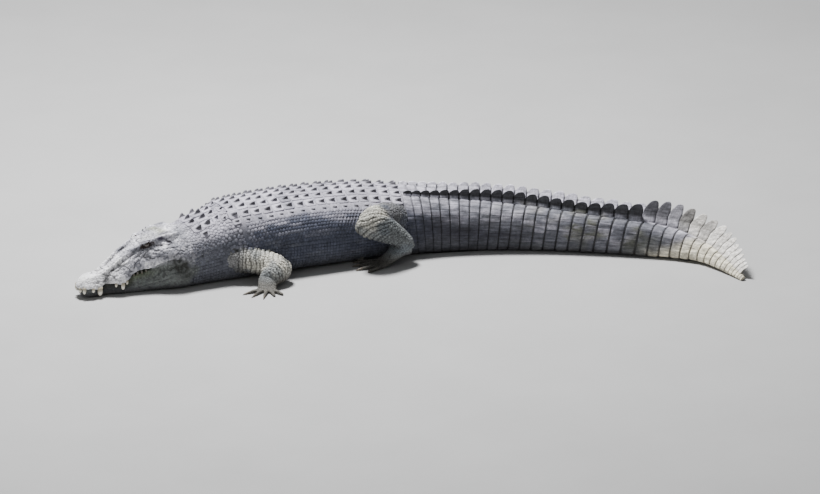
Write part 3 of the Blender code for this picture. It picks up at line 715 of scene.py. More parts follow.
CHEEK_FOLDS = ((0.43, 0.56, 0.104, 0.262), (0.42, 0.52, 0.112, 0.243), (0.5, 0.62, 0.14, 0.252))
JOWL_FOLDS = ((0.045, 0.4, 0.6, 0.0035), (0.07, 0.44, 0.64, 0.004), (0.1, 0.36, 0.58, 0.003),
              (-0.04, 0.5, 0.63, 0.003))
UPPER_SCALLOPS = (0.04, 0.075, 0.126, 0.222, 0.262, 0.3, 0.345, 0.385, 0.425)
LOWER_SCALLOPS = (0.09, 0.185, 0.24, 0.32, 0.365, 0.405)
NOSTRIL = ((0.036, 0.007, 0.133), (0.041, 0.014, 0.136), (0.05, 0.018, 0.138), (0.057, 0.014, 0.139))


def wrinkles(local, seed, size, width, stretch):
    """1 in winding creases where soft noise crosses zero, 0 elsewhere."""
    return np.exp(-(soft_noise(local * (stretch, 1.0, 1.0), seed, size) / width) ** 2)


def face_relief(local):
    """How far the skin rises at each point; local is station, distance aside, height."""
    ridge = [(s, at(RIDGE_OFFSET, s), at(RIDGE_HEIGHT, s)) for s in np.linspace(0.15, 0.41, 9)]
    rise = line_shape(local, ridge, 0.009, 0.0085)
    strayed = local + (0, 1, 0) * (0.006 * soft_noise(local * (1, 0.3, 0.3), 16, 0.07))[:, None]
    broken = np.clip(0.75 + 0.55 * soft_noise(local * (1, 0.5, 0.5), 17, 0.06), 0.15, 1.3)
    rise += line_shape(strayed, shifted(ridge[1:], -0.019, -0.002), 0.0085, -0.011) * broken
    middle = [(s, 0.004, h - 0.004) for s, _, h in ridge[1:-1]]
    rise += line_shape(local, middle, 0.008, 0.0045)
    rise += line_shape(strayed, shifted(ridge[1:], 0.013, -0.022), 0.008, -0.0105) * broken
    rise += line_shape(strayed, shifted(ridge[2:], 0.024, -0.046), 0.007, -0.009) * (1.5 - broken)
    rise += line_shape(local, shifted(ridge[3:], 0.026, -0.042), 0.01, 0.0045)
    rise += line_shape(local, BROW, 0.009, 0.0105)
    table = [(s, at(RIDGE_OFFSET, s) + 0.003, at(RIDGE_HEIGHT, s)) for s in np.linspace(0.48, 0.655, 7)]
    rise += line_shape(local, table, 0.009, 0.0085)
    rise += line_shape(local, shifted(table[:3], 0.013, -0.022), 0.006, -0.006)
    rise += line_shape(local, EAR_SLIT, 0.006, -0.012)
    rise += line_shape(local, shifted(EAR_SLIT, -0.002, 0.014), 0.008, 0.0055)
    rise += line_shape(local, EAR_CRESCENT, 0.007, -0.009)
    for start, end, aside, low in CHEEK_FOLDS:
        fold = [(s, aside + 0.25 * (s - start), low + 0.004 * math.sin(60 * s) - 0.06 * (s - start))
                for s in np.linspace(start, end, 6)]
        rise += line_shape(local, fold, 0.0055, -0.0065)
        rise += line_shape(local, shifted(fold, 0.0, 0.01), 0.006, 0.0035)
    for centre, radii, amount in FACE_MOUNDS:
        rise += bump(local, centre, radii, amount)
    station, _, height = local.T
    bony = fade(station, 0.52, 0.42) * fade(height - curve(UPPER_LIP, station), 0.01, 0.03)
    rise -= 0.0055 * wrinkles(local, 12, 0.055, 0.2, 0.4) * bony * fade(station, 0.03, 0.1)
    loose = fade(station, 0.42, 0.5) * fade(height, 0.05, 0.09)
    rise -= 0.0036 * wrinkles(local, 13, 0.065, 0.16, 0.6) * loose
    return rise + 0.001 * soft_noise(local, 14, 0.018)


def mouth_relief(local):
    """The scalloped lips and the fold where the mouth ends."""
    rise = np.zeros(len(local))
    for s in UPPER_SCALLOPS:
        centre = (s, at(LIP_WIDTH, s), at(UPPER_LIP, s) + 0.01)
        rise += bump(local, centre, (0.011, 0.02, 0.014), 0.004)
    for s in LOWER_SCALLOPS:
        centre = (s, at(JOWL_WIDTH, s), at(UPPER_LIP, s) - at(MOUTH_OPENING, s) - 0.014)
        rise += bump(local, centre, (0.012, 0.024, 0.014), 0.0035)
    lips = [(s, at(LIP_WIDTH, s) - 0.004, at(UPPER_LIP, s)) for s in np.linspace(0.455, 0.628, 7)]
    rise += line_shape(local, lips, 0.006, -0.006)
    rise += line_shape(local, shifted(lips, 0.006, 0.017) + [lips[-1]], 0.01, 0.0045)
    rise += line_shape(local, shifted(lips, 0.006, -0.017) + [lips[-1]], 0.011, 0.005)
    for drop, start, end, deep in JOWL_FOLDS:
        fold = [(s, at(JOWL_WIDTH, s), at(UPPER_LIP, s) - drop + 0.006 * math.sin(40 * s + 90 * drop))
                for s in np.linspace(start, end, 8)]
        rise += line_shape(local, fold, 0.0065, -deep)
        rise += line_shape(local, shifted(fold, 0.0, 0.011), 0.0065, 0.6 * deep)
    return rise


def nostril_relief(local):
    """Two crescent nostrils on the disc at the snout's tip, each with a swollen rim."""
    rise = line_shape(local, NOSTRIL, 0.004, -0.011)
    return rise + line_shape(local, shifted(NOSTRIL, 0.007, 0.0, -0.002), 0.0045, 0.0025)


def head_relief(local):
    """All reliefs of the head together."""
    return face_relief(local) + mouth_relief(local) + nostril_relief(local)


points = points_of(skin)
station, offset = locate(points)
head = station < 0.75
local = np.stack([station, np.abs(offset), points[:, 2]], axis=1)[head]
rise = head_relief(local)
points[head] += normals_of(skin)[head] * rise[:, None]
rise = rise * 1000
print("face: highest rise", round(float(rise.max()), 1), "mm, deepest", round(float(rise.min()), 1))

# %% [markdown]
# ## The lids
#
# An eye looks outwards, a little up and a little forwards. Skin round it is pushed on to a sphere
# just larger than the eyeball, and inside an almond it is sunk behind the ball, so the ball shows
# there. The rim of the almond is swollen a little, and that makes the lids.

# %% Shape the lids
HEAD_ANGLE = math.radians(HEADING[0][1])
HEAD_FORWARD = np.array([-math.cos(HEAD_ANGLE), -math.sin(HEAD_ANGLE), 0.0])
HEAD_LEFT = np.array([math.sin(HEAD_ANGLE), -math.cos(HEAD_ANGLE), 0.0])
LID_DEPTH = 0.0024
EYE_SINK = 0.006


def unit(vectors):
    """Vectors scaled to length 1."""
    return vectors / np.maximum(np.linalg.norm(vectors, axis=-1), 1e-9)[..., None]


def eye_axes(side):
    """Where an eye looks, and the upward direction across its face."""
    outward = side * HEAD_LEFT * 0.93 + np.array([0.0, 0.0, 0.3])
    outward = unit(outward + HEAD_FORWARD * 0.12)
    upward = np.cross(HEAD_FORWARD, outward)
    return outward, unit(upward * np.sign(upward[2]))


def shape_lids(points, eye, side):
    """Press the skin to the eyeball and open it in an almond over the pupil."""
    outward, upward = eye_axes(side)
    arm = points - eye
    reach = np.linalg.norm(arm, axis=1)
    facing, along, up = arm @ outward, arm @ HEAD_FORWARD, arm @ upward
    near = (reach < LIDS_REACH) & (facing > 0.0)
    almond = (along / 0.0195) ** 2 + ((up + 0.002 + 0.36 * along) / 0.0078) ** 2
    lid = EYE_RADIUS + LID_DEPTH + 0.0038 * np.exp(-((almond - 2.0) / 0.8) ** 2)
    goal = np.where(almond < 1.0, EYE_RADIUS - EYE_SINK, lid)
    pull = fade(reach, 0.04, 0.028)
    pull = np.where(almond < 1.0, 1.0, pull * fade(almond, 7.0, 3.0))
    target = reach + (goal - reach) * pull
    moved = eye + arm * (target / np.maximum(reach, 1e-6))[:, None]
    return np.where(near[:, None], moved, points)


for word, side in (("left", 1), ("right", -1)):
    points = shape_lids(points, EYES[word], side)
points[:, 2] = np.maximum(points[:, 2], OFF_FLOOR)
move_points(skin, points)
print("lids lie", LID_DEPTH * 1000, "mm outside eyes of", round(EYE_RADIUS * 1000, 1), "mm")

# %% [markdown]
# ## Two coordinates for every point of the hide
#
# Colours, scales and the baking map all need to know where on the animal a point is. The body and
# head use the station and the girth. A limb uses how far down its bones the point is and the
# angle round them. `unwrap` turns these into a flat map of the hide, with the body as one long
# strip and the four limbs in a row above it. The legs' cross folds are raised here as well,
# because they follow the same coordinates.

# %% Places on the hide
FORELEG = {"left": ((0.99, 0.19, 0.152), (1.205, 0.338, 0.098), (1.085, 0.405, 0.056)),
           "right": ((1.0, 0.19, 0.15), (1.195, 0.345, 0.094), (1.055, 0.4, 0.054))}
HIND_LEG = {"left": ((2.11, 0.13, 0.244), (1.868, 0.33, 0.298), (2.105, 0.3, 0.132)),
            "right": ((2.11, 0.13, 0.22), (1.9, 0.32, 0.19), (2.14, 0.31, 0.105))}
SIDE = {ARM_LEFT: 1, ARM_RIGHT: -1, LEG_LEFT: 1, LEG_RIGHT: -1}
FOLD_HEIGHT = 0.0034
UPPER_FOLD = 0.027
LOWER_FOLD = 0.022


def bone_line(limb):
    """Shoulder, elbow, wrist and finger tips, or hip, knee, ankle and toe tips."""
    leg = FORELEG if limb in (ARM_LEFT, ARM_RIGHT) else HIND_LEG
    joints = leg["left" if SIDE[limb] > 0 else "right"]
    line = [place(s, SIDE[limb] * o, h) for s, o, h in joints]
    paw_points = points_of(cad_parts[LIMB_PARTS[limb][2]])
    far = np.linalg.norm((paw_points - line[-1])[:, :2], axis=1)
    tip = paw_points[far > 0.8 * far.max()].mean(axis=0)
    tip[2] = 0.008
    return np.array(line + [tip])


BONES = {limb: bone_line(limb) for limb in LIMB_PARTS}


def middle_height(station):
    """Height of the middle of the body's or head's section."""
    return 0.48 * np.where(station < HEAD_END, curve(RIDGE_HEIGHT, station), curve(TOP_HEIGHT, station))


def girth_of(points, station, offset):
    """0 on the spine, 1 or -1 under the belly, for points of the body or head."""
    roll = np.radians(curve(TAIL_ROLL, station))
    up = points[:, 2] - middle_height(station)
    side = offset * np.cos(roll) + up * np.sin(roll)
    up = up * np.cos(roll) - offset * np.sin(roll)
    return np.arctan2(side, up) / math.pi


def limb_place(points, limb):
    """How far down the bones each point is, 0 to 3, and the angle round them, -1 to 1."""
    line = BONES[limb]
    along = near_line(points, line)[1]
    step = np.clip((along * 3).astype(int), 0, 2)
    direction = (line[1:] - line[:-1])[step]
    direction /= np.linalg.norm(direction, axis=1)[:, None]
    foot = line[step] + (along * 3 - step)[:, None] * (line[1:] - line[:-1])[step]
    arm = points - foot
    upright = np.array([0.0, 0.0, 1.0]) - direction * direction[:, 2:3]
    upright /= np.linalg.norm(upright, axis=1)[:, None]
    across = np.cross(direction, upright)
    return along * 3, np.arctan2((arm * across).sum(axis=1), (arm * upright).sum(axis=1)) / math.pi


def leg_fold(points, limb):
    """Cross folds of a leg's hide: 1 on a fold, -1 in the crease between two, 0 on the foot."""
    along, angle = limb_place(points, limb)
    line = BONES[limb]
    lengths = np.linalg.norm(np.diff(line, axis=0), axis=1)
    walked = np.interp(along, [0, 1, 2, 3], np.concatenate([[0], np.cumsum(lengths)]))
    wander = 0.004 * soft_noise(points, 15, 0.12) + 0.014 * np.cos(math.pi * angle)
    open_to = 1.0
    if limb in (LEG_LEFT, LEG_RIGHT):
        inner = (line[0] + line[2]) / 2
        reach = np.linalg.norm(line[1] - inner)
        outward = (line[1] - inner) / reach
        sweep = line[2] - line[0]
        sweep -= outward * (sweep @ outward)
        sweep /= np.linalg.norm(sweep)
        out, past = (points - inner) @ outward, (points - inner) @ sweep
        walked = np.arctan2(past, out) * reach
        wander = 0.003 * soft_noise(points, 15, 0.12)
        open_to = fade(np.hypot(out, past), 0.04, 0.1)
    wave = np.cos(2 * math.pi * (walked + wander) / np.where(along < 1, UPPER_FOLD, LOWER_FOLD))
    narrow = np.sign(wave) * np.abs(wave) ** np.where(wave < 0, 1.6, 0.7)
    return narrow * fade(along, 2.1, 1.75) * open_to


def unwrap(points, region):
    """A flat map of the hide: the body's strip below, the four limbs above."""
    station, offset = locate(points)
    flat = np.stack([0.01 + 0.98 * station / TOTAL_LENGTH,
                     0.33 + 0.31 * girth_of(points, station, offset)], axis=1)
    for number, limb in enumerate(LIMB_PARTS):
        chosen = region == limb
        if chosen.any():
            along, angle = limb_place(points[chosen], limb)
            flat[chosen] = np.stack([0.01 + 0.25 * number + 0.075 * along,
                                     0.83 + 0.15 * angle], axis=1)
    return flat


WIDEST_FACE = 0.15


def mend_seams(uv, starts, totals):
    """A face that crosses the map's cut takes all its corners on one side of it."""
    owner = np.repeat(np.arange(len(starts)), totals)
    high = np.maximum.reduceat(uv[:, 1], starts)
    low = np.minimum.reduceat(uv[:, 1], starts)
    apart = (high - low > WIDEST_FACE)[owner] & (uv[:, 1] < high[owner] - WIDEST_FACE)
    uv[:, 1] = np.where(apart, high[owner], uv[:, 1])
    return uv


points = points_of(skin)
skin_region, skin_paw = regions_of(points)
skin_normals = normals_of(skin)
for limb in LIMB_PARTS:
    chosen = np.nonzero((skin_region == limb) & ~skin_paw)[0]
    points[chosen] += skin_normals[chosen] * (FOLD_HEIGHT * leg_fold(points[chosen], limb))[:, None]
move_points(skin, points)
skin_normals = normals_of(skin)
mesh = skin.data
layer = mesh.uv_layers.new(name="OFBake")
loops = numbers(mesh.loops, "vertex_index")
uv = mend_seams(unwrap(points, skin_region)[loops], numbers(mesh.polygons, "loop_start"),
                numbers(mesh.polygons, "loop_total"))
layer.data.foreach_set("uv", uv.astype(np.float32).ravel())
print("the hide's map reaches", uv.min(axis=0).round(2), "to", uv.max(axis=0).round(2))

# %% [markdown]
# ## Markings
#
# Dry mud makes this animal pale on top: a lilac grey on the head, neck and back, with darker
# worn blotches on the back. The flanks are a dark blue grey, the legs are a warm cream grey, and
# the tail goes from mid grey with olive blotches to a cream end. Painted shade darkens the belly,
# the lower side of the tail's root, the lower jaw, which is also muddy, and the legs' undersides.
# It also darkens the face's grooves, the ear, the eye's socket and the legs' creases, and there is
# painted highlight on the face's ridges. The colour is worked out from a point's place on the hide,
# so the skin and every scale get the same markings. The soft noise breaks it into blotches of
# three sizes.

# %% Colour of the hide at any point
def linear(red, green, blue):
    """A display colour, 0 to 255, as the linear values that shaders use."""
    c = np.array([red, green, blue]) / 255
    return np.where(c <= 0.04045, c / 12.92, ((c + 0.055) / 1.055) ** 2.4)


BACK_GREY = linear(180, 177, 189)
FLANK_BLUE = linear(68, 72, 87)
NECK_GREY = linear(94, 96, 106)
# Painted shade for undersides: the belly, the tail's belly, the jaw's lower edge and the legs' downward
# faces.
UNDERSIDE_SHADE = linear(70, 71, 76)
HEAD_PALE = linear(194, 193, 201)
SNOUT_WHITE = linear(240, 239, 242)
TABLE_GREEN = linear(160, 162, 148)
JAW_GREY = linear(112, 116, 114)
# A dark colour for the jaw: painted shade under the overhanging upper jaw, and mud.
JAW_SHADE_AND_MUD = linear(50, 51, 48)
ALGAE = linear(96, 106, 70)
# Painted shade colour for the ear's recess and the fold behind it.
EAR_SHADE = linear(66, 62, 78)
LEG_CREAM = linear(206, 203, 191)
LEG_GREY = linear(98, 105, 111)
TAIL_GREY = linear(108, 109, 118)
TAIL_OLIVE = linear(88, 89, 80)
TAIL_SHADE = linear(50, 50, 60)
TAIL_CREAM = linear(222, 215, 194)
MUD = linear(86, 82, 75)
# Painted shade colour for the eye's socket under the brow.
EYE_SOCKET_SHADE = linear(52, 38, 36)
UNDER_EYE = ((0.408, 0.066, 0.279), (0.436, 0.09, 0.29), (0.474, 0.096, 0.297))


def blend(colour, other, share):
    """Mix two colours, the second by its share."""
    return colour + (other - colour) * np.clip(share, 0, 1)[:, None]


def plain(colour, count):
    """The same colour for this many points."""
    return np.tile(colour, (count, 1))


def soft_ball(*terms):
    """1 in the middle of an ellipsoid, 0 outside; a term is (distance, radius)."""
    return np.exp(-sum((gap / radius) ** 2 for gap, radius in terms) ** 1.5)


def body_colour(station, girth, large, middle, streak):
    """Pale back and blue grey flank of the neck and trunk, with painted shade darkening the belly."""
    colour = plain(BACK_GREY, len(station))
    worn = fade(middle + 0.8 * streak + 0.4 * large, 0.0, 1.7) * fade(girth, 0.36, 0.26)
    colour = blend(colour, NECK_GREY, worn * 0.55)
    side = fade(girth + 0.02 * large + 0.015 * middle, 0.24, 0.36)
    behind = fade(station + 0.05 * middle, 1.0, 1.14)
    colour = blend(colour, FLANK_BLUE, side * behind)
    colour = blend(colour, NECK_GREY, side * (1 - behind))
    upper = fade(girth, 0.22, 0.27) * fade(girth, 0.5, 0.36)
    colour = blend(colour, BACK_GREY, upper * fade(streak, -0.2, 1.4) * 0.45)
    lower = fade(streak + 0.5 * middle, 0.2, 1.4) * fade(girth, 0.34, 0.42)
    colour = blend(colour, NECK_GREY, lower * 0.5)
    # Painted shade: the belly is darkened for the shade under the body.
    return blend(colour, UNDERSIDE_SHADE, fade(girth + 0.03 * large, 0.54, 0.76))


def tail_colour_at(station, girth, large, middle, streak):
    """Mid grey with pale and olive blotches, cream from below towards the tip, and painted shade on the lower
    side and belly.
    """
    colour = plain(TAIL_GREY, len(station))
    olive = fade(large + 0.8 * middle + 2.0 * (girth - 0.3), 0.1, 1.2)
    olive = olive * fade(station, 2.6, 2.9) * fade(station, 3.9, 3.6)
    colour = blend(colour, TAIL_OLIVE, olive * 0.95)
    pale = fade(streak + 0.8 * middle - 0.6 * large - 2.5 * (girth - 0.3), -0.1, 1.3)
    colour = blend(colour, BACK_GREY, pale * (0.34 + 0.36 * fade(girth, 0.22, 0.34)))
    # Painted shade on the lower side of the tail's root, under the body and the hind legs.
    deep = fade(girth + 0.03 * middle + 0.1 * fade(station, 2.9, 2.3), 0.38, 0.56)
    colour = blend(colour, TAIL_SHADE, deep * fade(station, 3.4, 2.7) * 0.95)
    # Painted shade on the tail's belly.
    belly = fade(girth + 0.02 * middle, 0.52, 0.74) * fade(station, 3.85, 3.5)
    colour = blend(colour, UNDERSIDE_SHADE, belly * 0.85)
    colour = blend(colour, BACK_GREY, fade(girth, 0.12, 0.06) * 0.8)
    upper = fade(station, 3.8, 4.0) * fade(girth + 0.05 * middle, 0.6, 0.3)
    colour = blend(colour, BACK_GREY, upper * 0.6)
    cream = fade(station + 0.28 * (girth - 0.45) + 0.04 * large + 0.02 * middle, 3.86, 4.02)
    return blend(colour, TAIL_CREAM, cream)


def head_colour_at(local, large, middle, small):
    """Pale crown and snout, green grey table, a lower jaw darkened by mud and painted shade, painted shade at
    the ear and eye, and a dark patch behind the jaw.
    """
    station, aside, height = local.T
    colour = plain(HEAD_PALE, len(station))
    white = fade(station, 0.34, 0.18) + 0.7 * fade(middle + small, 0.5, 1.5)
    colour = blend(colour, SNOUT_WHITE, white)
    dusty = fade(-middle + 0.9 * small, 0.0, 1.1) * fade(station, 0.14, 0.34)
    colour = blend(colour, NECK_GREY, dusty * 0.7)
    table = fade(station, 0.42, 0.47) * fade(station, 0.62, 0.56)
    table = table * fade(height, 0.322, 0.334) * fade(aside, 0.085, 0.07)
    colour = blend(colour, TABLE_GREEN, table * fade(middle + large, -0.6, 0.8))
    below = curve(UPPER_LIP, station) - height
    soft = 0.005 + 0.03 * fade(station, 0.43, 0.52)
    # The jaw's front is darkened partly for mud and partly as painted shade under the upper jaw.
    front = fade(station + 0.02 * middle, 0.36, 0.28) * (0.35 + 0.65 * fade(station, 0.09, 0.13))
    stains = fade(middle + 0.7 * small, 0.5, 1.6) * 0.65
    jaw_tone = blend(plain(JAW_GREY, len(station)), JAW_SHADE_AND_MUD, np.maximum(front, stains))
    # Painted shade along the jaw's lower edge near the floor.
    jaw_tone = blend(jaw_tone, UNDERSIDE_SHADE, fade(height, 0.07, 0.02) * 0.8)
    # Below the lip the lower jaw takes its darker tone: partly mud, partly painted shade under the upper jaw.
    colour = blend(colour, jaw_tone, fade(below / soft, -1.0, 1.0))
    algae = np.exp(-(((station - 0.385) / 0.075) ** 2 + ((below - 0.03) / 0.022) ** 2))
    colour = blend(colour, ALGAE, algae * 0.6)
    patch = soft_ball((station - 0.62 + 0.45 * (height - 0.15), 0.058), (height - 0.145, 0.085))
    patch = patch * fade(aside, 0.09, 0.13) * (0.95 + 0.3 * middle + 0.25 * small)
    colour = blend(colour, JAW_SHADE_AND_MUD, patch)
    # Painted shade in the ear's recess and in the crescent fold behind it.
    ear = soft_ball((station - 0.52, 0.03), (aside - 0.1, 0.02), (height - 0.321, 0.016))
    colour = blend(colour, EAR_SHADE, ear * 1.2)
    colour = blend(colour, EAR_SHADE, fade(near_line(local, EAR_CRESCENT)[0], 0.013, 0.004) * 0.8)
    # Painted shade round the eye's socket, under the brow.
    return blend(colour, EYE_SOCKET_SHADE, fade(near_line(local, UNDER_EYE)[0], 0.02, 0.01))


def leg_colour(points, normals, region, large, middle):
    """Cream and grey legs with muddy feet and painted shade underneath, and the painted shade of the creases.
    """
    tone = blend(plain(LEG_CREAM, len(points)), LEG_GREY, fade(middle + 0.6 * large, 0.0, 1.4) * 0.7)
    shade = np.ones(len(points))
    for limb in LIMB_PARTS:
        chosen = region == limb
        if chosen.any():
            along = limb_place(points[chosen], limb)[0]
            root = fade(along, 0.4, 0.0) * 0.7
            grey = fade(along, 1.5, 2.1) * 0.6
            if limb in (LEG_LEFT, LEG_RIGHT):
                grey = fade(along, 0.85, 1.3) * 0.85
                rear = fade(locate(points[chosen])[0], 1.88, 2.0) * fade(along, 0.9, 0.6)
                root = np.maximum(root, rear * 0.8)
            tone[chosen] = blend(blend(tone[chosen], LEG_GREY, grey), FLANK_BLUE, root)
            # Painted shade in the creases between the folds.
            shade[chosen] = 1 - 0.7 * fade(-leg_fold(points[chosen], limb), 0.0, 1.0)
    # Painted shade on the faces that turn downwards.
    tone = blend(tone, UNDERSIDE_SHADE, fade(-normals[:, 2], 0.1, 0.8) * 0.7)
    return blend(tone, MUD, fade(points[:, 2], 0.095, 0.035) * 0.8), shade


def hide_colour(points, normals, region):
    """The hide's colour at points, from where they are on the animal, with painted shade and highlight from
    the head's relief and painted shade in the legs' creases.
    """
    station, offset = locate(points)
    girth = np.abs(girth_of(points, station, offset))
    large = soft_noise(points, 1, 0.45)
    middle = soft_noise(points, 2, 0.12)
    small = soft_noise(points, 3, 0.035)
    stretched = np.stack([station * 0.16, girth * 0.6, 0 * station], axis=1)
    streak = soft_noise(stretched, 4, 0.03)
    marks = (station, girth, large, middle, streak)
    colour = blend(body_colour(*marks), tail_colour_at(*marks), fade(station, 2.05, 2.4))
    shade = 1.0 + 0.09 * middle + 0.09 * small
    near = np.nonzero(station < 0.78)[0]
    if len(near):
        local = np.stack([station, np.abs(offset), points[:, 2]], axis=1)[near]
        tone = head_colour_at(local, large[near], middle[near], small[near])
        colour[near] = blend(colour[near], tone, fade(station[near] + 0.02 * middle[near], 0.72, 0.66))
        # Painted shade in the head's grooves and painted highlight on its ridges, from the modelled relief.
        relief = head_relief(local)
        shade[near] *= 1 + 0.82 * np.clip(relief / 0.0065, -1, 0) + 0.22 * np.clip(relief / 0.006, 0, 1)
    limb = region >= ARM_LEFT
    if limb.any():
        colour[limb], creases = leg_colour(points[limb], normals[limb], region[limb], large[limb],
                                           middle[limb])
        shade[limb] *= creases
    colour = blend(colour, MUD, fade(points[:, 2], 0.04, 0.0) * 0.35)
    return np.clip(colour * np.clip(shade, 0.22, 1.35)[:, None], 0.01, 0.95)


def paint(thing, colours):
    """Store a colour per point, as the attribute that the hide's materials read."""
    layer = thing.data.color_attributes.new("Hide", "FLOAT_COLOR", "POINT")
    full = np.concatenate([colours, np.ones((len(colours), 1))], axis=1)
    layer.data.foreach_set("color", full.astype(np.float32).ravel())


skin_station = locate(points)[0]
# Painted shade: the skin between the scales is darkened, most of all under the tail's tiles.
under = 0.8 - 0.62 * fade(skin_station, 2.1, 2.25) * fade(skin_station, 4.43, 4.38)
under = np.where(skin_region >= ARM_LEFT, 0.55, under + (0.85 - under) * fade(skin_station, 0.72, 0.64))
paint(skin, hide_colour(points, skin_normals, skin_region) * under[:, None])
print("markings painted on", len(points), "points of skin")

# %% [markdown]
# ## Materials
#
# The hide is dry, so it is rough, with a trace of gloss where scales are worn smooth. Its colour
# comes from the painted attribute, and small noise adds grain and dust. A bump gives the fine
# wrinkles that are too small to model. The skin between the scales has deeper wrinkles.

# %% Materials of hide, teeth and claws
def material(name, slot_colour=(0.5, 0.5, 0.5)):
    """A new material with only its shader and output."""
    new = bpy.data.materials.new(name)
    new.use_nodes = True
    new.diffuse_color = (*slot_colour, 1.0)
    return new, new.node_tree.nodes, new.node_tree.links, new.node_tree.nodes["Principled BSDF"]


def set_inputs(node, **values):
    """Give a node's inputs their values; an underscore stands for a space."""
    for name, value in values.items():
        node.inputs[name.replace("_", " ")].default_value = value
    return node


def noise_node(nodes, links, scale, detail=4.0, roughness=0.6):
    """Noise on object coordinates."""
    where = nodes.new("ShaderNodeTexCoord")
    noise = set_inputs(nodes.new("ShaderNodeTexNoise"), Scale=scale, Detail=detail, Roughness=roughness)
    links.new(where.outputs["Object"], noise.inputs["Vector"])
    return noise


def ramp(nodes, links, source, stops):
    """The output of a colour ramp fed by a socket; stops are (position, grey or colour)."""
    node = nodes.new("ShaderNodeValToRGB")
    links.new(source, node.inputs["Fac"])
    elements = node.color_ramp.elements
    elements[0].position = stops[0][0]
    elements[1].position = stops[-1][0]
    for position, _ in stops[1:-1]:
        elements.new(position)
    for element, (_, tone) in zip(elements, stops):
        element.color = (*np.broadcast_to(tone, 3).tolist(), 1)
    return node.outputs["Color"]


def multiply(nodes, links, first, second):
    """Multiply two colours."""
    mix = nodes.new("ShaderNodeMix")
    mix.data_type = "RGBA"
    mix.blend_type = "MULTIPLY"
    set_inputs(mix, Factor=1.0)
    links.new(first, mix.inputs["A"])
    links.new(second, mix.inputs["B"])
    return mix.outputs["Result"]


def bump_node(nodes, links, height, strength, distance):
    """A bump whose height comes from a socket."""
    node = set_inputs(nodes.new("ShaderNodeBump"), Strength=strength, Distance=distance)
    links.new(height, node.inputs["Height"])
    return node


def hide_material(name, bump_scale, bump_distance, cracks, streaks=0.0):
    """Painted hide with grain, dust and a fine relief; streaks run along the animal."""
    new, nodes, links, shader = material(name)
    colour = nodes.new("ShaderNodeAttribute")
    colour.attribute_name = "Hide"
    grain = noise_node(nodes, links, 55, 6.0, 0.7).outputs["Fac"]
    grain = ramp(nodes, links, grain, ((0.28, 0.62), (0.52, 1.0), (0.75, 1.22)))
    dust = noise_node(nodes, links, 260, 3.0).outputs["Fac"]
    dust = ramp(nodes, links, dust, ((0.3, 0.8), (0.62, 1.08)))
    toned = multiply(nodes, links, colour.outputs["Color"], grain)
    toned = multiply(nodes, links, toned, dust)
    where = nodes.new("ShaderNodeTexCoord")
    if streaks:
        stretch = set_inputs(nodes.new("ShaderNodeMapping"), Scale=(0.14, 0.6, 1.0))
        links.new(where.outputs["Object"], stretch.inputs["Vector"])
        long_noise = noise_node(nodes, links, 75, 4.0, 0.65)
        links.new(stretch.outputs["Vector"], long_noise.inputs["Vector"])
        drawn = ramp(nodes, links, long_noise.outputs["Fac"],
                     ((0.36, 1 - streaks), (0.52, 1.0), (0.66, 1 + streaks)))
        toned = multiply(nodes, links, toned, drawn)
    links.new(toned, shader.inputs["Base Color"])
    rough = noise_node(nodes, links, 30, 3.0).outputs["Fac"]
    links.new(ramp(nodes, links, rough, ((0.3, 0.56), (0.7, 0.8))), shader.inputs["Roughness"])
    set_inputs(shader, Specular_IOR_Level=0.35)
    plates = set_inputs(nodes.new("ShaderNodeTexVoronoi"), Scale=cracks)
    plates.feature = "DISTANCE_TO_EDGE"
    links.new(where.outputs["Object"], plates.inputs["Vector"])
    edges = ramp(nodes, links, plates.outputs["Distance"], ((0.0, 0.0), (0.1, 1.0)))
    first = bump_node(nodes, links, edges, 0.6, bump_distance)
    fine = noise_node(nodes, links, bump_scale, 5.0, 0.65)
    second = bump_node(nodes, links, fine.outputs["Fac"], 0.5, bump_distance)
    links.new(first.outputs["Normal"], second.inputs["Normal"])
    links.new(second.outputs["Normal"], shader.inputs["Normal"])
    return new


def horn_material(name, colour, spread):
    """Horn: one colour broken up by noise, with a low bump."""
    new, nodes, links, shader = material(name, colour)
    noise = noise_node(nodes, links, 90).outputs["Fac"]
    dark = [c * (1 - spread) for c in colour]
    light = [min(c * (1 + spread), 1) for c in colour]
    links.new(ramp(nodes, links, noise, ((0.35, dark), (0.68, light))), shader.inputs["Base Color"])
    set_inputs(shader, Roughness=0.45)
    bumps = bump_node(nodes, links, noise, 0.4, 0.0008)
    links.new(bumps.outputs["Normal"], shader.inputs["Normal"])
    return new


SKIN_HIDE = hide_material("hide_between_scales", 90, 0.0015, 95)
SCALE_HIDE = hide_material("hide_on_scales", 180, 0.0008, 150)
TAIL_HIDE = hide_material("hide_of_tail", 180, 0.0007, 110, 0.42)
TOOTH = hide_material("old_ivory", 300, 0.0003, 400)
set_inputs(TOOTH.node_tree.nodes["Principled BSDF"], Coat_Weight=0.5)
HORN = horn_material("claw_horn", tuple(linear(92, 84, 75)), 0.35)
skin.data.materials.clear()
skin.data.materials.append(SKIN_HIDE)
print("materials:", len(bpy.data.materials))

# %% [markdown]
# ## Master scales
#
# A crocodile's scales are flat plates of horn set in leather, not loose flakes like a snake's. All
# of them come from four small models: a pebble with ten sides, a rectangular tile with worn
# corners, a back scute with a keel, and a crest blade. The first three start as a filled circle or
# a plane and get their form by extruding a face and scaling it. X points tailwards and Z out of
# the hide. A master has few faces, because it is copied hundreds of times.

# %% Model the pebble and the tile
def new_shape(operator, **options):
    """Add a primitive at its place with everything else deselected."""
    bpy.ops.object.select_all(action="DESELECT")
    operator(**options)
    thing = bpy.context.active_object
    bpy.ops.object.transform_apply(location=True, rotation=True, scale=True)
    bpy.ops.object.mode_set(mode="EDIT")
    bpy.ops.mesh.select_all(action="SELECT")
    return thing


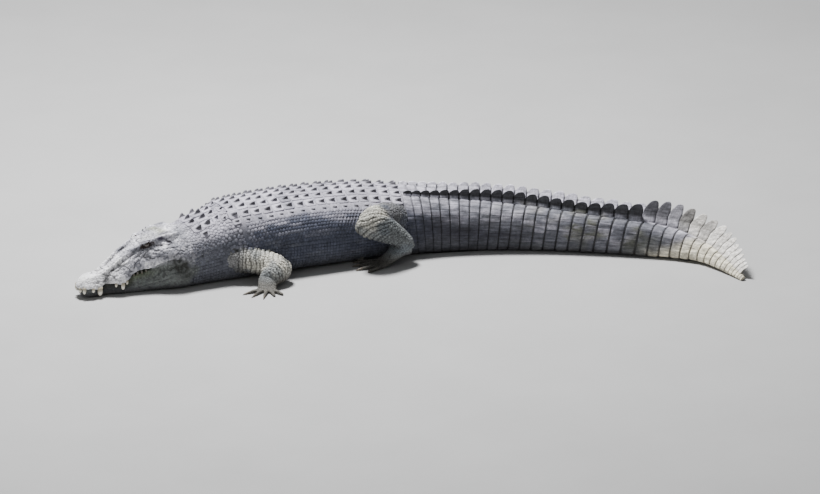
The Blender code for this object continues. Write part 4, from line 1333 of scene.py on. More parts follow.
def raise_face(move, shrink, centre=(0, 0, 0)):
    """Extrude the selected cap and scale it about a centre."""
    bpy.ops.mesh.extrude_region_move(TRANSFORM_OT_translate={"value": move})
    bpy.ops.transform.resize(value=shrink, center_override=centre)


def pick(thing, test):
    """Select only the vertices whose places pass a test."""
    bpy.ops.mesh.select_mode(type="VERT")
    bpy.ops.mesh.select_all(action="DESELECT")
    bpy.ops.object.mode_set(mode="OBJECT")
    for vertex in thing.data.vertices:
        vertex.select = test(vertex.co)
    bpy.ops.object.mode_set(mode="EDIT")


def read_master(thing):
    """The finished model as arrays; the object itself is no longer needed."""
    bpy.ops.object.mode_set(mode="OBJECT")
    points = points_of(thing)
    loops = numbers(thing.data.loops, "vertex_index")
    totals = numbers(thing.data.polygons, "loop_total")
    bpy.data.objects.remove(thing)
    return {"points": points, "loops": loops, "totals": totals,
            "triangles": int((totals - 2).sum()), "keel": None}


PEBBLE_SIDES = 10
thing = new_shape(bpy.ops.mesh.primitive_circle_add, vertices=PEBBLE_SIDES, radius=1.0,
                  fill_type="NGON", location=(0, 0, -0.7))
raise_face((0, 0, 1.15), (0.94, 0.94, 1))
raise_face((0, 0, 0.42), (0.76, 0.76, 1))
bpy.ops.mesh.poke(offset=0.13)
PEBBLE = read_master(thing)

thing = new_shape(bpy.ops.mesh.primitive_plane_add, size=2.0, location=(0, 0, -0.7))
bpy.ops.mesh.bevel(offset=0.22, segments=2, affect="VERTICES")
raise_face((0, 0, 1.25), (0.95, 0.94, 1))
raise_face((0, 0, 0.32), (0.88, 0.86, 1))
raise_face((0.05, 0, 0.1), (0.72, 0.64, 1))
TILE = read_master(thing)
print("pebble:", PEBBLE["triangles"], "triangles; tile:", TILE["triangles"])

# %% [markdown]
# ## The keeled scute and the crest blade
#
# A back scute starts as a plane with widely cut corners, and gets its shield and keel by a stack
# of ever smaller faces. The keel's front is pulled down and its rear is pushed up, so it climbs
# towards the tail. The crest blade is a grid stood on edge: its columns are scaled to a rounded
# outline, its foot goes down into the hide, a Solidify modifier makes it thick, and its ends and
# top are thinned again. Both get one level of subdivision, because they are few and large.

# %% Model the scute and the blade
BLADE_OUTLINE = (0.5, 0.72, 0.85, 0.93, 0.98, 1.0, 1.02, 1.01, 0.97, 0.84, 0.52)


def squash(thing, test, share):
    """Scale the vertices that pass a test about the model's origin."""
    pick(thing, test)
    bpy.ops.transform.resize(value=share, center_override=(0, 0, 0))


thing = new_shape(bpy.ops.mesh.primitive_plane_add, size=2.0, location=(0, 0, -0.3))
bpy.ops.mesh.bevel(offset=0.42, segments=3, affect="VERTICES")
raise_face((0, 0, 0.38), (0.97, 0.97, 1))
raise_face((0, 0, 0.05), (0.9, 0.86, 1))
raise_face((0.12, 0, 0.04), (0.62, 0.36, 1))
raise_face((0.03, 0, 0.1), (0.92, 0.7, 1), (0.12, 0, 0))
raise_face((0.06, 0, 0.5), (0.52, 0.3, 1), (0.3, 0, 0))
pick(thing, lambda co: co.z > 0.55 and co.x < 0.02)
bpy.ops.transform.translate(value=(-0.04, 0, -0.26))
pick(thing, lambda co: co.z > 0.55 and co.x > 0.3)
bpy.ops.transform.translate(value=(0.06, 0, 0.35))
bpy.ops.object.mode_set(mode="OBJECT")
apply(thing, "SUBSURF", levels=1)
SCUTE = read_master(thing)
# How much darker the keel's flanks are: partly the keel's own colour, partly painted shade.
SCUTE["keel"] = 0.78

thing = new_shape(bpy.ops.mesh.primitive_grid_add, x_subdivisions=10, y_subdivisions=5, size=2.0,
                  rotation=(math.pi / 2, 0, 0))
bpy.ops.transform.translate(value=(0, 0, 1))
bpy.ops.transform.resize(value=(1, 1, 0.5), center_override=(0, 0, 0))
for column, top in enumerate(BLADE_OUTLINE):
    squash(thing, lambda co: abs(co.x + 1 - 0.2 * column) < 0.05 and co.z > 0.05, (1, 1, top))
pick(thing, lambda co: co.z < 0.05)
bpy.ops.transform.translate(value=(0, 0, -0.4))
bpy.ops.object.mode_set(mode="OBJECT")
apply(thing, "SOLIDIFY", thickness=2.0, offset=0.0)
bpy.ops.object.mode_set(mode="EDIT")
squash(thing, lambda co: abs(co.x) > 0.95, (1, 0.45, 1))
squash(thing, lambda co: co.z > 0.5, (1, 0.7, 1))
squash(thing, lambda co: co.z > 0.78, (1, 0.55, 1))
bpy.ops.object.mode_set(mode="OBJECT")
apply(thing, "SUBSURF", levels=1)
BLADE = read_master(thing)
print("scute:", SCUTE["triangles"], "triangles; blade:", BLADE["triangles"])

# %% [markdown]
# ## Laying copies on the skin
#
# One function turns a master and a list of roots into one joined mesh. A root has a place, a
# direction tailwards, an outward normal, a size and a colour. Copies on the head and legs are
# draped: each point goes to its own place on the skin, and takes the hide's colour there. Tiles
# are bent round the body, and near the tail's end they too are snapped to the skin. A copy gets
# painted shade where it meets the skin, and is lightest on its worn top; a keel's flanks are
# darker, partly in their own colour and partly as painted shade. Its map coordinates are a patch of
# three thousandths round its root's place on the hide's map, so a bake gives it the hide's spot.

# %% Copy a master to many roots
ROOT_PATCH = 0.0015
SLIM_TAIL = 3.6


def joined(name, master, places, colours, uv, slot, finish):
    """One mesh object from all copies, with its colours, map, material and slot."""
    count, size = places.shape[:2]
    mesh = bpy.data.meshes.new(name)
    mesh.vertices.add(count * size)
    places = places.copy()
    places[..., 2] = np.maximum(places[..., 2], 0.0001)
    mesh.vertices.foreach_set("co", places.reshape(-1).astype(np.float32))
    step = np.arange(count)[:, None]
    loops = (master["loops"][None] + step * size).ravel()
    totals = np.tile(master["totals"], count)
    mesh.loops.add(len(loops))
    mesh.loops.foreach_set("vertex_index", loops.astype(np.int32))
    mesh.polygons.add(len(totals))
    starts = np.cumsum(totals) - totals
    mesh.polygons.foreach_set("loop_start", starts.astype(np.int32))
    mesh.polygons.foreach_set("loop_total", totals.astype(np.int32))
    mesh.update(calc_edges=True)
    mesh.shade_smooth()
    layer = mesh.uv_layers.new(name="OFBake")
    flat = master["points"][:, :2] / np.abs(master["points"][:, :2]).max()
    patch = np.clip(uv[:, None, :] + ROOT_PATCH * flat[None], 0.0005, 0.9995)
    layer.data.foreach_set("uv", patch.reshape(-1, 2)[loops].astype(np.float32).ravel())
    thing = add_object(name, mesh)
    paint(thing, colours.reshape(-1, 3))
    mesh.materials.append(finish)
    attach(thing, "root")
    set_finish(thing, slot)
    print(name + ":", count, "copies,", count * master["triangles"], "triangles")
    return thing


def tones_of(master, deep):
    """Lightness at each vertex: painted shade at the foot set by deep, a little over 1 on top; a keel's
    flanks are darker, partly own colour and partly painted shade.
    """
    x, y, z = master["points"].T
    if master["keel"] is None:
        shares = [0.6 * deep, 0.5 + 0.5 * deep, 0.98, 1.05]
        foot = np.interp(z / z.max(), [-0.5, 0.35, 0.75, 1.0], shares)
        return foot + (1 - foot) * 0.9 * (np.abs(y) > 0.6) * (np.abs(x) < 0.8)
    tone = np.interp(z, [-0.2, 0.05, 0.12], [0.5 * deep, 0.5 + 0.5 * deep, 1.0])
    flank = fade(z, 0.17, 0.26) * fade(z, 0.98 * z.max(), 0.8 * z.max())
    return np.where(z > 0.15, tone * (1 - master["keel"] * flank), tone)


def square_axes(along, normals):
    """Directions along and across the hide, square to the normals."""
    along = unit(along - normals * (along * normals).sum(axis=1)[:, None])
    return along, np.cross(normals, along)


def drape(places, heights, normals, colours, region):
    """Drop each point of the copies on the skin, lift it again and give it the hide's colour."""
    shape = places.shape
    flat = places.reshape(-1, 3)
    down, raised, _, gap = snap(flat)
    near = (gap < 0.006)[:, None]
    flat = np.where(near, down, flat)
    out = np.where(near, raised, np.repeat(normals, shape[1], axis=0))
    tones = hide_colour(flat, out, np.repeat(region, shape[1])).reshape(shape)
    share = (colours.mean(axis=1) / tones[:, -1].mean(axis=1))[:, None, None]
    return (flat + heights.reshape(-1, 1) * out).reshape(shape), tones * (0.6 + 0.4 * share.clip(0.6, 1.5))


def lay(name, master, roots, along, normals, sizes, colours, uv, slot, radii=None, tilt=0.0, deep=0.55,
        draped=None):
    """Copies on the skin, draped if regions are given; sizes are two halves and a height."""
    along, across = square_axes(along, normals)
    x, y, z = master["points"].T
    if radii is None:
        px, py = x * sizes[:, 0:1], y * sizes[:, 1:2]
    else:
        turn = np.round(np.arctan2(y, x) / (2 * math.pi) * PEBBLE_SIDES).astype(int) % PEBBLE_SIDES
        radius = np.where(np.hypot(x, y) > 0.02, radii[:, turn], 0.0)
        px, py = radius * x, radius * y
    pz = z * sizes[:, 2:3] + np.where(z > 0, tilt * px, 0.0)
    places = roots[:, None] + px[..., None] * along[:, None] + py[..., None] * across[:, None]
    if draped is None:
        places, tones = places + pz[..., None] * normals[:, None], colours[:, None]
    else:
        places, tones = drape(places, pz, normals, colours, draped)
    tones = tones * tones_of(master, deep)[None, :, None]
    return joined(name, master, places, tones, uv, slot, SCALE_HIDE)


def lay_bent(name, spots, slot, lean=0.0, deep=0.62, spread=0.05, seed=1, finish=None):
    """Tiles bent round the body; a spot is station, arc, half length, half width and height."""
    x, y, z = TILE["points"].T
    shape = (len(spots), len(x), 3)
    depth = COAT_DEPTH[BODY]
    generator = np.random.default_rng(seed)
    station = spots[:, 0:1] + x * spots[:, 2:3]
    arc = spots[:, 1:2] + y * spots[:, 3:4]
    reach = half_girth(spots[:, 0:1])
    station = np.clip(station + lean * (np.abs(arc) - 0.3 * reach), 0.67, 4.45)
    point, _, outward = on_body(station.ravel(), (arc / reach * half_girth(station)).ravel())
    height = (z * spots[:, 4:5] - depth).ravel()
    slim = station.ravel() > SLIM_TAIL
    if slim.any():
        foot, outward[slim], _, _ = snap(point[slim])
        point[slim] = foot + outward[slim] * depth
    colours = hide_colour(point, outward, np.zeros(len(point), int)).reshape(shape)
    colours = colours * (1 + generator.normal(0, spread, (len(spots), 1, 1)))
    colours = colours * tones_of(TILE, deep)[None, :, None]
    places = (point + outward * height[:, None]).reshape(shape)
    roots = on_body(spots[:, 0], spots[:, 1])[0]
    return joined(name, TILE, places, colours.clip(0.01, 0.95), body_uv(roots), slot, finish or SCALE_HIDE)


TRIANGLES = triangles_of(skin)
CORNERS = points_of(skin)[TRIANGLES]
MIDDLES = CORNERS.mean(axis=1)
AREAS = np.linalg.norm(np.cross(CORNERS[:, 1] - CORNERS[:, 0], CORNERS[:, 2] - CORNERS[:, 0]), axis=1) / 2
TRIANGLE_REGION = skin_region[TRIANGLES[:, 0]]
TRIANGLE_PAW = skin_paw[TRIANGLES[:, 0]]
skin_tree = tree_of(skin)


def snap(points):
    """The nearest places on the skin, with smooth normals, triangle numbers and distances."""
    found = [skin_tree.find_nearest(tuple(p)) for p in points]
    index = np.array([f[2] for f in found])
    normals = unit(skin_normals[TRIANGLES[index]].mean(axis=1))
    return np.array([tuple(f[0]) for f in found]), normals, index, np.array([f[3] for f in found])


# %% [markdown]
# ## Scattering roots and filling the gaps
#
# Where scales lie in no rows, their roots are scattered at random over the skin's triangles. A new
# root is dropped if an older one is too close, and a grid of boxes keeps that search short. Then
# every pebble is cut off half way to its neighbours, and that leaves narrow grooves between them.

# %% Scatter roots and size their cells
def scatter(chosen, spacing, seed):
    """Random places on the chosen triangles, no two nearer than the spacing there."""
    generator = np.random.default_rng(seed)
    wanted = AREAS * chosen / spacing(MIDDLES) ** 2
    count = int(wanted.sum() * 7)
    picks = generator.choice(len(wanted), count, p=wanted / wanted.sum())
    a = np.sqrt(generator.uniform(size=count))[:, None]
    b = generator.uniform(size=count)[:, None]
    corners = CORNERS[picks]
    spots = corners[:, 0] * (1 - a) + corners[:, 1] * a * (1 - b) + corners[:, 2] * a * b
    gaps = spacing(spots)
    keys = np.floor(spots / float(gaps.max())).astype(int)
    grid = {}
    kept = []
    for number, (key, (x, y, z), gap) in enumerate(zip(keys.tolist(), spots.tolist(), gaps.tolist())):
        boxes = itertools.product(*[(k - 1, k, k + 1) for k in key])
        if not any((ox - x) ** 2 + (oy - y) ** 2 + (oz - z) ** 2 < gap * gap
                   for box in boxes for ox, oy, oz in grid.get(box, ())):
            grid.setdefault(tuple(key), []).append((x, y, z))
            kept.append(number)
    normals = unit(skin_normals[TRIANGLES[picks[kept]]].mean(axis=1))
    return spots[kept], normals, picks[kept]


def cells(points, normals, along, reach, fill=0.95):
    """Radii that let each pebble fill its own cell between its neighbours."""
    tree = kdtree.KDTree(len(points))
    for number, point in enumerate(points):
        tree.insert(tuple(point), number)
    tree.balance()
    others = np.array([[found[1] for found in tree.find_n(tuple(p), 13)][1:] for p in points])
    along, across = square_axes(along, normals)
    delta = points[others] - points[:, None]
    dx = (delta * along[:, None]).sum(axis=2)
    dy = (delta * across[:, None]).sum(axis=2)
    same = (normals[others] * normals[:, None]).sum(axis=2) > 0.3
    squared = dx ** 2 + dy ** 2
    radii = np.repeat(reach[:, None], PEBBLE_SIDES, axis=1)
    for side in range(PEBBLE_SIDES):
        angle = 2 * math.pi * side / PEBBLE_SIDES
        facing = dx * math.cos(angle) + dy * math.sin(angle)
        limit = np.where(same & (facing > 1e-6), squared / 2 / np.maximum(facing, 1e-6), 9.0)
        radii[:, side] = np.minimum(radii[:, side], limit.min(axis=1))
    return radii * fill


def heading_at(points, region):
    """The direction tailwards on the body, or towards the toes on a limb."""
    angle = np.radians(curve(HEADING, locate(points)[0]))
    direction = np.stack([np.cos(angle), np.sin(angle), np.zeros(len(points))], axis=1)
    for limb, line in BONES.items():
        chosen = region == limb
        if chosen.any():
            step = np.clip(limb_place(points[chosen], limb)[0].astype(int), 0, 2)
            direction[chosen] = unit(line[1:] - line[:-1])[step]
    return direction


def mottled(points, normals, region, seed, spread=0.14):
    """The hide's colour at roots, with a small random difference for each scale."""
    generator = np.random.default_rng(seed)
    colour = hide_colour(points, normals, region)
    return colour * (1 + generator.normal(0, spread, (len(points), 1))).clip(0.6, 1.5)


print("the skin has", len(TRIANGLES), "triangles to lay scales on")

# %% [markdown]
# ## Scutes of the back and nape
#
# The back carries sixteen cross rows of bony shields. Each row has six large keeled ones with a
# smaller one at each end. The nape has its own cluster of a few large scutes, apart from the rest.
# They are laid out by station and by distance round the body from the spine, and pushed a few
# millimetres out of place at random, because no real row is perfectly even.

# %% Lay the large scutes
ROW_PITCH = 0.0745
BACK_ROWS = 0.996 + ROW_PITCH * np.arange(16)
BACK_OFFSETS = (0.03, 0.092, 0.157, 0.212)
LARGE_SCUTE = (0.0355, 0.032, 0.028)
END_SCUTE = (0.026, 0.0235, 0.012)
NAPE_SCUTE = (0.038, 0.03, 0.038)
NAPE = ((0.76, 0.03, 1.0), (0.762, 0.108, 1.0), (0.832, 0.034, 1.1), (0.828, 0.1, 1.05),
        (0.795, 0.16, 0.8), (0.892, 0.03, 0.8), (0.898, 0.092, 0.66), (0.945, 0.05, 0.55),
        (0.94, 0.13, 0.5))


def half_girth(station):
    """Distance from the spine to the middle of the belly."""
    return np.interp(station, GRID_STATIONS, HALF_GIRTH)


def on_body(station, arc):
    """Places on the body's sheet at distances round it from the spine, with outward normals."""
    point, along, across = on_sheet(station, arc / half_girth(station))
    outward = unit(np.cross(along, across))
    middle = (on_sheet(station, 0.45 + 0 * station)[0] + on_sheet(station, -0.45 + 0 * station)[0]) / 2
    outward *= np.sign((outward * (point - middle)).sum(axis=1))[:, None]
    return point, along, outward


def rooted(spots, keep_off=0.02):
    """Body spots snapped to the skin, without those that a limb covers."""
    point, along, outward = on_body(spots[:, 0], spots[:, 1])
    where, normals, triangle, gap = snap(point)
    free = (gap < keep_off) & (TRIANGLE_REGION[triangle] < ARM_LEFT) & ((normals * outward).sum(axis=1) > 0.6)
    return where[free], along[free], normals[free], free, triangle[free]


def body_uv(points):
    """Places of body roots on the hide's map."""
    return unwrap(points, np.zeros(len(points), int))


def lay_scutes(name, spots, wobble, seed, spread):
    """Keeled scutes at spots of station, arc and three sizes; returns their places."""
    where, along, normals, free, _ = rooted(spots)
    sizes = spots[free, 2:]
    if wobble:
        sizes = sizes * (1 + generator.normal(0, wobble, (free.sum(), 1)))
    colours = mottled(where, normals, np.zeros(len(where), int), seed, spread)
    lay(name, SCUTE, where, along, normals, sizes, colours, body_uv(where), "hide_body", deep=0.94)
    return where


generator = np.random.default_rng(11)
spots = []
for s in BACK_ROWS:
    narrow = float(fade(s, 1.0, 1.2)) * (1 - 0.3 * float(fade(s, 1.75, 2.1)))
    for o in BACK_OFFSETS:
        for side in (1, -1):
            size = END_SCUTE if o == BACK_OFFSETS[-1] else LARGE_SCUTE
            spots.append((s + generator.normal(0, 0.002), side * o * (0.9 + 0.1 * narrow), *size))
BACK_SCUTES = lay_scutes("back_scutes", np.array(spots), 0.05, 21, 0.1)

spots = [(s + generator.normal(0, 0.003), side * o, *[size * length for length in NAPE_SCUTE])
         for s, o, size in NAPE for side in (1, -1)]
NAPE_SCUTES = lay_scutes("nape_scutes", np.array(spots), 0, 22, 0.08)

# %% [markdown]
# ## Pebbles of the neck and flanks, tiles of the belly
#
# Small round scales fill the neck between the nape's scutes. On the flanks they stand in cross
# rows, and lower down they turn into small tiles. Under the flank's curve come the belly's large
# even rectangles. Each pebble takes its outline from its neighbours, as in a mosaic.

# %% Lay pebbles and tiles on neck and trunk
def clear_of(points, large, distance):
    """True for points farther than this from every large scute."""
    return np.array([np.linalg.norm(large - p, axis=1).min() > distance for p in points])


def lay_tiles(name, stations, arcs, pitch, size, spread, seed):
    """Rows of tiles on both sides; arcs are two shares of the half girth and a margin."""
    spots = []
    for s in stations:
        reach = float(half_girth(s))
        for arc in np.arange(arcs[0] * reach, arcs[1] * reach - arcs[2], pitch):
            spots += [(s, side * arc, *size) for side in (1, -1)]
    spots = np.array(spots)
    spots = spots[rooted(spots)[3]]
    lay_bent(name, spots, "hide_body", spread=spread, seed=seed)
    return on_body(spots[:, 0], spots[:, 1])[0]


def lay_pebbles(name, where, along, normals, region, sizes, radii, seed, spread, tilt):
    """Pebbles on the neck or the flanks."""
    lay(name, PEBBLE, where, along, normals, sizes, mottled(where, normals, region, seed, spread),
        body_uv(where), "hide_body", radii, tilt=tilt, deep=0.66)


THROAT = lay_tiles("throat_tiles", np.arange(0.705, 1.03, 0.0185), (0.52, 1.0, 0.01), 0.0215,
                   (0.0086, 0.01, 0.003), 0.07, 36)
lay_tiles("flank_tiles", np.arange(1.05, 2.15, 0.0215), (0.5, 0.715, 0.0), 0.0205,
          (0.0101, 0.0096, 0.0032), 0.09, 35)
lay_tiles("belly_tiles", np.arange(1.05, 2.16, 0.04), (0.735, 1.0, 0.012), 0.036,
          (0.0192, 0.0172, 0.0026), 0.06, 34)

middle_station, middle_offset = locate(MIDDLES)
middle_girth = np.abs(girth_of(MIDDLES, middle_station, middle_offset))
neck = (TRIANGLE_REGION == BODY) & (middle_station < 1.06) & (middle_station > 0.66) & (middle_girth < 0.66)


def neck_spacing(points):
    """Finer towards the head and the throat, coarser on the nape."""
    return 0.0135 + 0.0035 * fade(locate(points)[0], 0.72, 0.95)


where, normals, triangle = scatter(neck, neck_spacing, 31)
free = clear_of(where, np.concatenate([NAPE_SCUTES, BACK_SCUTES]), 0.026) & clear_of(where, THROAT, 0.014)
where, normals, triangle = where[free], normals[free], triangle[free]
region = TRIANGLE_REGION[triangle]
along = heading_at(where, region)
spacing = neck_spacing(where)
sizes = np.stack([spacing, spacing, 0.13 * spacing + 0.001], axis=1)
radii = cells(where, normals, along, 0.76 * spacing)
lay_pebbles("neck_pebbles", where, along, normals, region, sizes, radii, 32, 0.13, 0.06)

spots = []
for s in np.arange(1.055, 2.2, 0.0225):
    reach = float(half_girth(s))
    for column, arc in enumerate(np.arange(0.235, 0.485 * reach + 0.01, 0.0205)):
        for side in (1, -1):
            spots.append((s + 0.011 * (column % 2) + generator.normal(0, 0.0014),
                          side * (arc + generator.normal(0, 0.0011))))
where, along, normals, _, triangle = rooted(np.array(spots))
sizes = np.tile([0.0112, 0.0102, 0.003], (len(where), 1)) * generator.uniform(0.85, 1.2, (len(where), 1))
radii = cells(where, normals, along, np.full(len(where), 0.013))
lay_pebbles("flank_pebbles", where, along, normals, TRIANGLE_REGION[triangle], sizes, radii, 33, 0.1, 0.08)

# %% [markdown]
# ## Rings of the tail
#
# The tail is ringed: each ring is a band of oblong tiles that runs all the way round and carries
# one blade of the crest on each side at first, and a single blade nearer the tip. The grooves
# between the rings lean forwards at the root of the tail and backwards farther down.

# %% Lay the tail's tiles
DOUBLE_WHORLS = 21
SINGLE_WHORLS = 18
WHORL_GROWTH = 0.24
WHORL_SHRINK = 0.16
GROOVE_LEAN = ((2.16, 0.12), (2.5, 0.0), (2.75, -0.1), (3.1, -0.16), (3.6, -0.2), (4.46, -0.15))
TAIL_START = 2.16
CREST_JOINS = 3.66
steps = 1 - (1 - WHORL_SHRINK) * np.arange(SINGLE_WHORLS) / (SINGLE_WHORLS - 1)
share = np.arange(DOUBLE_WHORLS + 1) / DOUBLE_WHORLS
WHORLS = np.concatenate([TAIL_START + 1.5 * share * (1 - WHORL_GROWTH + WHORL_GROWTH * share),
                         CREST_JOINS + 0.8 * np.cumsum(steps) / steps.sum()])

spots = []
for number, (first, last) in enumerate(zip(WHORLS, WHORLS[1:])):
    middle = (first + last) / 2
    if middle > 4.44:
        continue
    reach = float(half_girth(middle))
    count = max(int(round(reach / (0.036 if middle < CREST_JOINS else 0.028))), 3)
    pitch = reach / count
    size = ((last - first) * 0.456, pitch * 0.56, 0.0048 if middle < 3.7 else 0.0036)
    for column in range(count):
        spots += [(middle, side * (column + 0.5) * pitch, *size) for side in (1, -1)]
spots = np.array(spots)
spots = spots[rooted(spots, 0.03)[3]]
# A low foot tone gives painted shade in the grooves between the tail's tiles.
lay_bent("tail_tiles", spots, "hide_tail", curve(GROOVE_LEAN, spots[:, 0:1]), 0.4, 0.06, 41,
         finish=TAIL_HIDE)

# %% [markdown]
# ## The crest of the tail
#
# The blades are tall flexible fins of horn. Where there are two rows they splay outwards, and where
# there is one row it is rolled over with the tail's end. A blade is placed by where it lies along
# its ring and how high it stands, so it follows the tail's bends by itself.

# %% Raise the crest
CREST_HEIGHT = ((2.16, 0.024), (2.5, 0.06), (2.8, 0.088), (3.3, 0.09), (3.6, 0.108), (3.8, 0.13),
                (4.0, 0.128), (4.16, 0.116), (4.3, 0.082), (4.46, 0.034))
CREST_OFFSET = ((2.16, 0.09), (2.4, 0.074), (2.75, 0.052), (3.25, 0.044), (3.5, 0.034), (3.66, 0.02))
CREST_RAKE = ((2.16, 0.2), (3.4, 0.28), (3.8, 0.36), (4.05, 0.62), (4.46, 0.8))
CREST_SPLAY = 0.25
LEFT_SHARE = ((2.16, 0.9), (2.9, 0.84), (3.15, 0.76), (3.4, 0.84), (3.66, 1.02))
RIGHT_SHARE = 0.76
SINGLE_SHARE = 1.12
FIN_FLARE = ((2.16, 0.006), (2.6, 0.014), (3.2, 0.018), (3.66, 0.018), (4.0, 0.018), (4.46, 0.003))
DOUBLE_HALF, SINGLE_HALF = 0.51, 0.55
DOUBLE_RAKE, SINGLE_RAKE = 0.6, 0.62
THIN_RING = 34
CREAM_START = 3.85
CHARCOAL = linear(58, 58, 63)
BLADE_PALE = linear(206, 204, 214)
CREAM_BLADE = linear(232, 228, 222)
SINGLE_TONES = (0.1, 0.24, 0.62, 0.3, 0.95, 0.55, 1.0, 0.85, 1.0)


def back_height(station, offset):
    """Height of the unrolled back at an offset."""
    side = curve(SIDE_HEIGHT, station)
    share = np.clip(np.abs(offset) / curve(HALF_WIDTH, station), 0, 1)
    power = curve(ARCH_POWER, station)
    return side + (curve(TOP_HEIGHT, station) - side) * (1 - share ** power) ** (1 / power)


def rest_height(station):
    """How far the rolled section is lowered so that it rests on the floor."""
    places = np.unique(station)
    sinks = []
    for s in places:
        half = half_section(float(s))
        both = np.concatenate([half, half * (-1, 1)])
        angle = math.radians(at(TAIL_ROLL, s))
        lowest = (both[:, 0] * math.sin(angle) + both[:, 1] * math.cos(angle)).min()
        sinks.append(lowest + 0.012 * math.sin(angle))
    return np.interp(station, places, sinks)


def roll_each(station, offset, height):
    """Roll points over to the right by the tail's roll at their stations."""
    angle = np.radians(curve(TAIL_ROLL, station))
    return (offset * np.cos(angle) - height * np.sin(angle),
            offset * np.sin(angle) + height * np.cos(angle))


def blade_points(ring, side, tall):
    """Places of one blade's points and their heights before the tail is rolled."""
    x, thick, up = BLADE["points"].T
    start, end = WHORLS[ring], WHORLS[ring + 1]
    station = start + (end - start) * (0.5 + (DOUBLE_HALF if side else SINGLE_HALF) * x)
    station = np.clip(station, 2.1, 4.459)
    rise = tall / up.max() * np.where(up > 0, up, 0.0)
    base = curve(CREST_OFFSET, station) if side else 0.0 * station
    slim = 0.0085 * (1 - 0.35 * np.clip(up, 0, 1)) * (1.0 if ring < THIN_RING else 0.7)
    flare = at(FIN_FLARE, start) * (1 - np.clip(up, -0.2, 0.55) / 0.55) ** 2
    offset = side * (base + CREST_SPLAY * rise) + thick * (slim + flare)
    height = back_height(station, base + np.abs(thick) * flare) + rise + np.where(up < 0, up, 0.0) * 0.03
    rake = at(CREST_RAKE, start + 0.5 * (end - start)) * (DOUBLE_RAKE if side else SINGLE_RAKE)
    lean, tallness = roll_each(station, offset, height)
    tallness = np.maximum(tallness - rest_height(np.round(station, 3)), 0.0005)
    points = place(station, lean, tallness, np.clip(up - 0.35, 0, 1) * 1.5 * tall * rake)
    return points, soft_noise(np.stack([station * 3, height, 0 * station], axis=1), 9 + ring, 0.03)


def blade_tones(points, ring, side, own):
    """Hide colour at a blade's foot, lightened as painted light on the double rows, and charcoal, grey or
    cream on its lobe; one face of each double-row blade has painted shade.
    """
    _, thick, up = BLADE["points"].T
    start = WHORLS[ring]
    low = hide_colour(points, snap(points)[1], np.full(len(points), BODY))
    # Painted light: the foot of a double-row blade is made lighter against the shade of its upright wall.
    low = low * (1.0 if ring >= DOUBLE_WHORLS else 1.2)
    lobe = fade(up, 0.14, 0.3)
    if side > 0:
        # The left row's outer face is charcoal: partly the blade's own dark colour, partly painted shade.
        return blend(low, np.where((thick > -0.2)[:, None], CHARCOAL, BLADE_PALE), lobe)
    if side < 0:
        # Painted shade: the right row's outer face is darker than its pale inner face.
        return blend(low, BLADE_PALE * np.where(thick < 0, 0.7, 1.0)[:, None], np.maximum(lobe, 0.6))
    pale = BLADE_PALE if start < CREAM_START else CREAM_BLADE
    least = 0.35 + 0.5 * (start > CREAM_START)
    return blend(low, CHARCOAL + (pale - CHARCOAL) * own, np.maximum(lobe, least))


def crest(name, first_ring, last_ring, side):
    """A row of blades, one for each ring; side is 0 for the single row."""
    x, _, up = BLADE["points"].T
    generator = np.random.default_rng(50 + first_ring + side)
    joint = 1 - 0.8 * fade(np.abs(x), 0.78, 0.93) * fade(up, 1.0, 0.6)
    places, colours, roots = [], [], []
    for ring in range(first_ring, last_ring):
        start = WHORLS[ring]
        length = WHORLS[ring + 1] - start
        tall = at(CREST_HEIGHT, start + 0.8 * length) * generator.uniform(0.93, 1.02)
        tall *= {1: at(LEFT_SHARE, start), -1: RIGHT_SHARE, 0: SINGLE_SHARE}[side]
        points, streaks = blade_points(ring, side, tall)
        own = SINGLE_TONES[min(ring - first_ring, len(SINGLE_TONES) - 1)]
        shade = (1 + 0.14 * streaks) * joint * (0.9 + 0.2 * np.clip(up, 0, 1))
        colours.append(blade_tones(points, ring, side, own) * shade[:, None])
        places.append(points)
        roots.append((start + 0.5 * length, side * at(CREST_OFFSET, start)))
    uv = body_uv(on_body(*np.array(roots).T)[0])
    colours = np.clip(np.array(colours), 0.01, 0.95)
    return joined(name, BLADE, np.array(places), colours, uv, "hide_tail", TAIL_HIDE)


crest("crest_left", 0, DOUBLE_WHORLS, 1)
crest("crest_right", 0, DOUBLE_WHORLS, -1)
crest("crest_single", DOUBLE_WHORLS, DOUBLE_WHORLS + SINGLE_WHORLS - 3, 0)

# %% [markdown]
# ## Scales of the legs and feet
#
# The legs wear low rounded scales that run over the cross folds of the hide. They are scattered
# so that no two are closer than a set distance, and draped, so that each one bends with the fold
# below it. The feet get smaller ones in the same way.

# %% Lay the legs' scales
LEG_NAMES = {ARM_LEFT: "arm_left", ARM_RIGHT: "arm_right", LEG_LEFT: "leg_left", LEG_RIGHT: "leg_right"}
LEG_SCALE = (False, 0.0125, 0.0018)
PAW_SCALE = (True, 0.0092, 0.0016)
for limb, label in LEG_NAMES.items():
    for paw, spacing, height in (LEG_SCALE, PAW_SCALE):
        chosen = (TRIANGLE_REGION == limb) & (TRIANGLE_PAW == paw) & (MIDDLES[:, 2] > 0.004)
        where, normals, _ = scatter(chosen, lambda p: np.full(len(p), spacing), 70 + limb)
        region = np.full(len(where), limb)
        along = heading_at(where, region)
        radii = cells(where, normals, along, np.full(len(where), 0.8 * spacing))
        sizes = np.tile([spacing, spacing, height], (len(where), 1))
        lay((LIMB_PARTS[limb][2] if paw else label) + "_scales", PEBBLE, where, along, normals, sizes,
            mottled(where, normals, region, 60 + limb, 0.08), unwrap(where, region), "hide_leg", radii,
            tilt=0.05, deep=0.74, draped=region)

# %% [markdown]
# ## Scales of the head
#
# On the snout and the skull table the hide is thin and lies on the bone, so its scales are low,
# small and uneven. They are finest on the lids and lips, and coarser on the jaw's side and behind
# the mouth's corner.

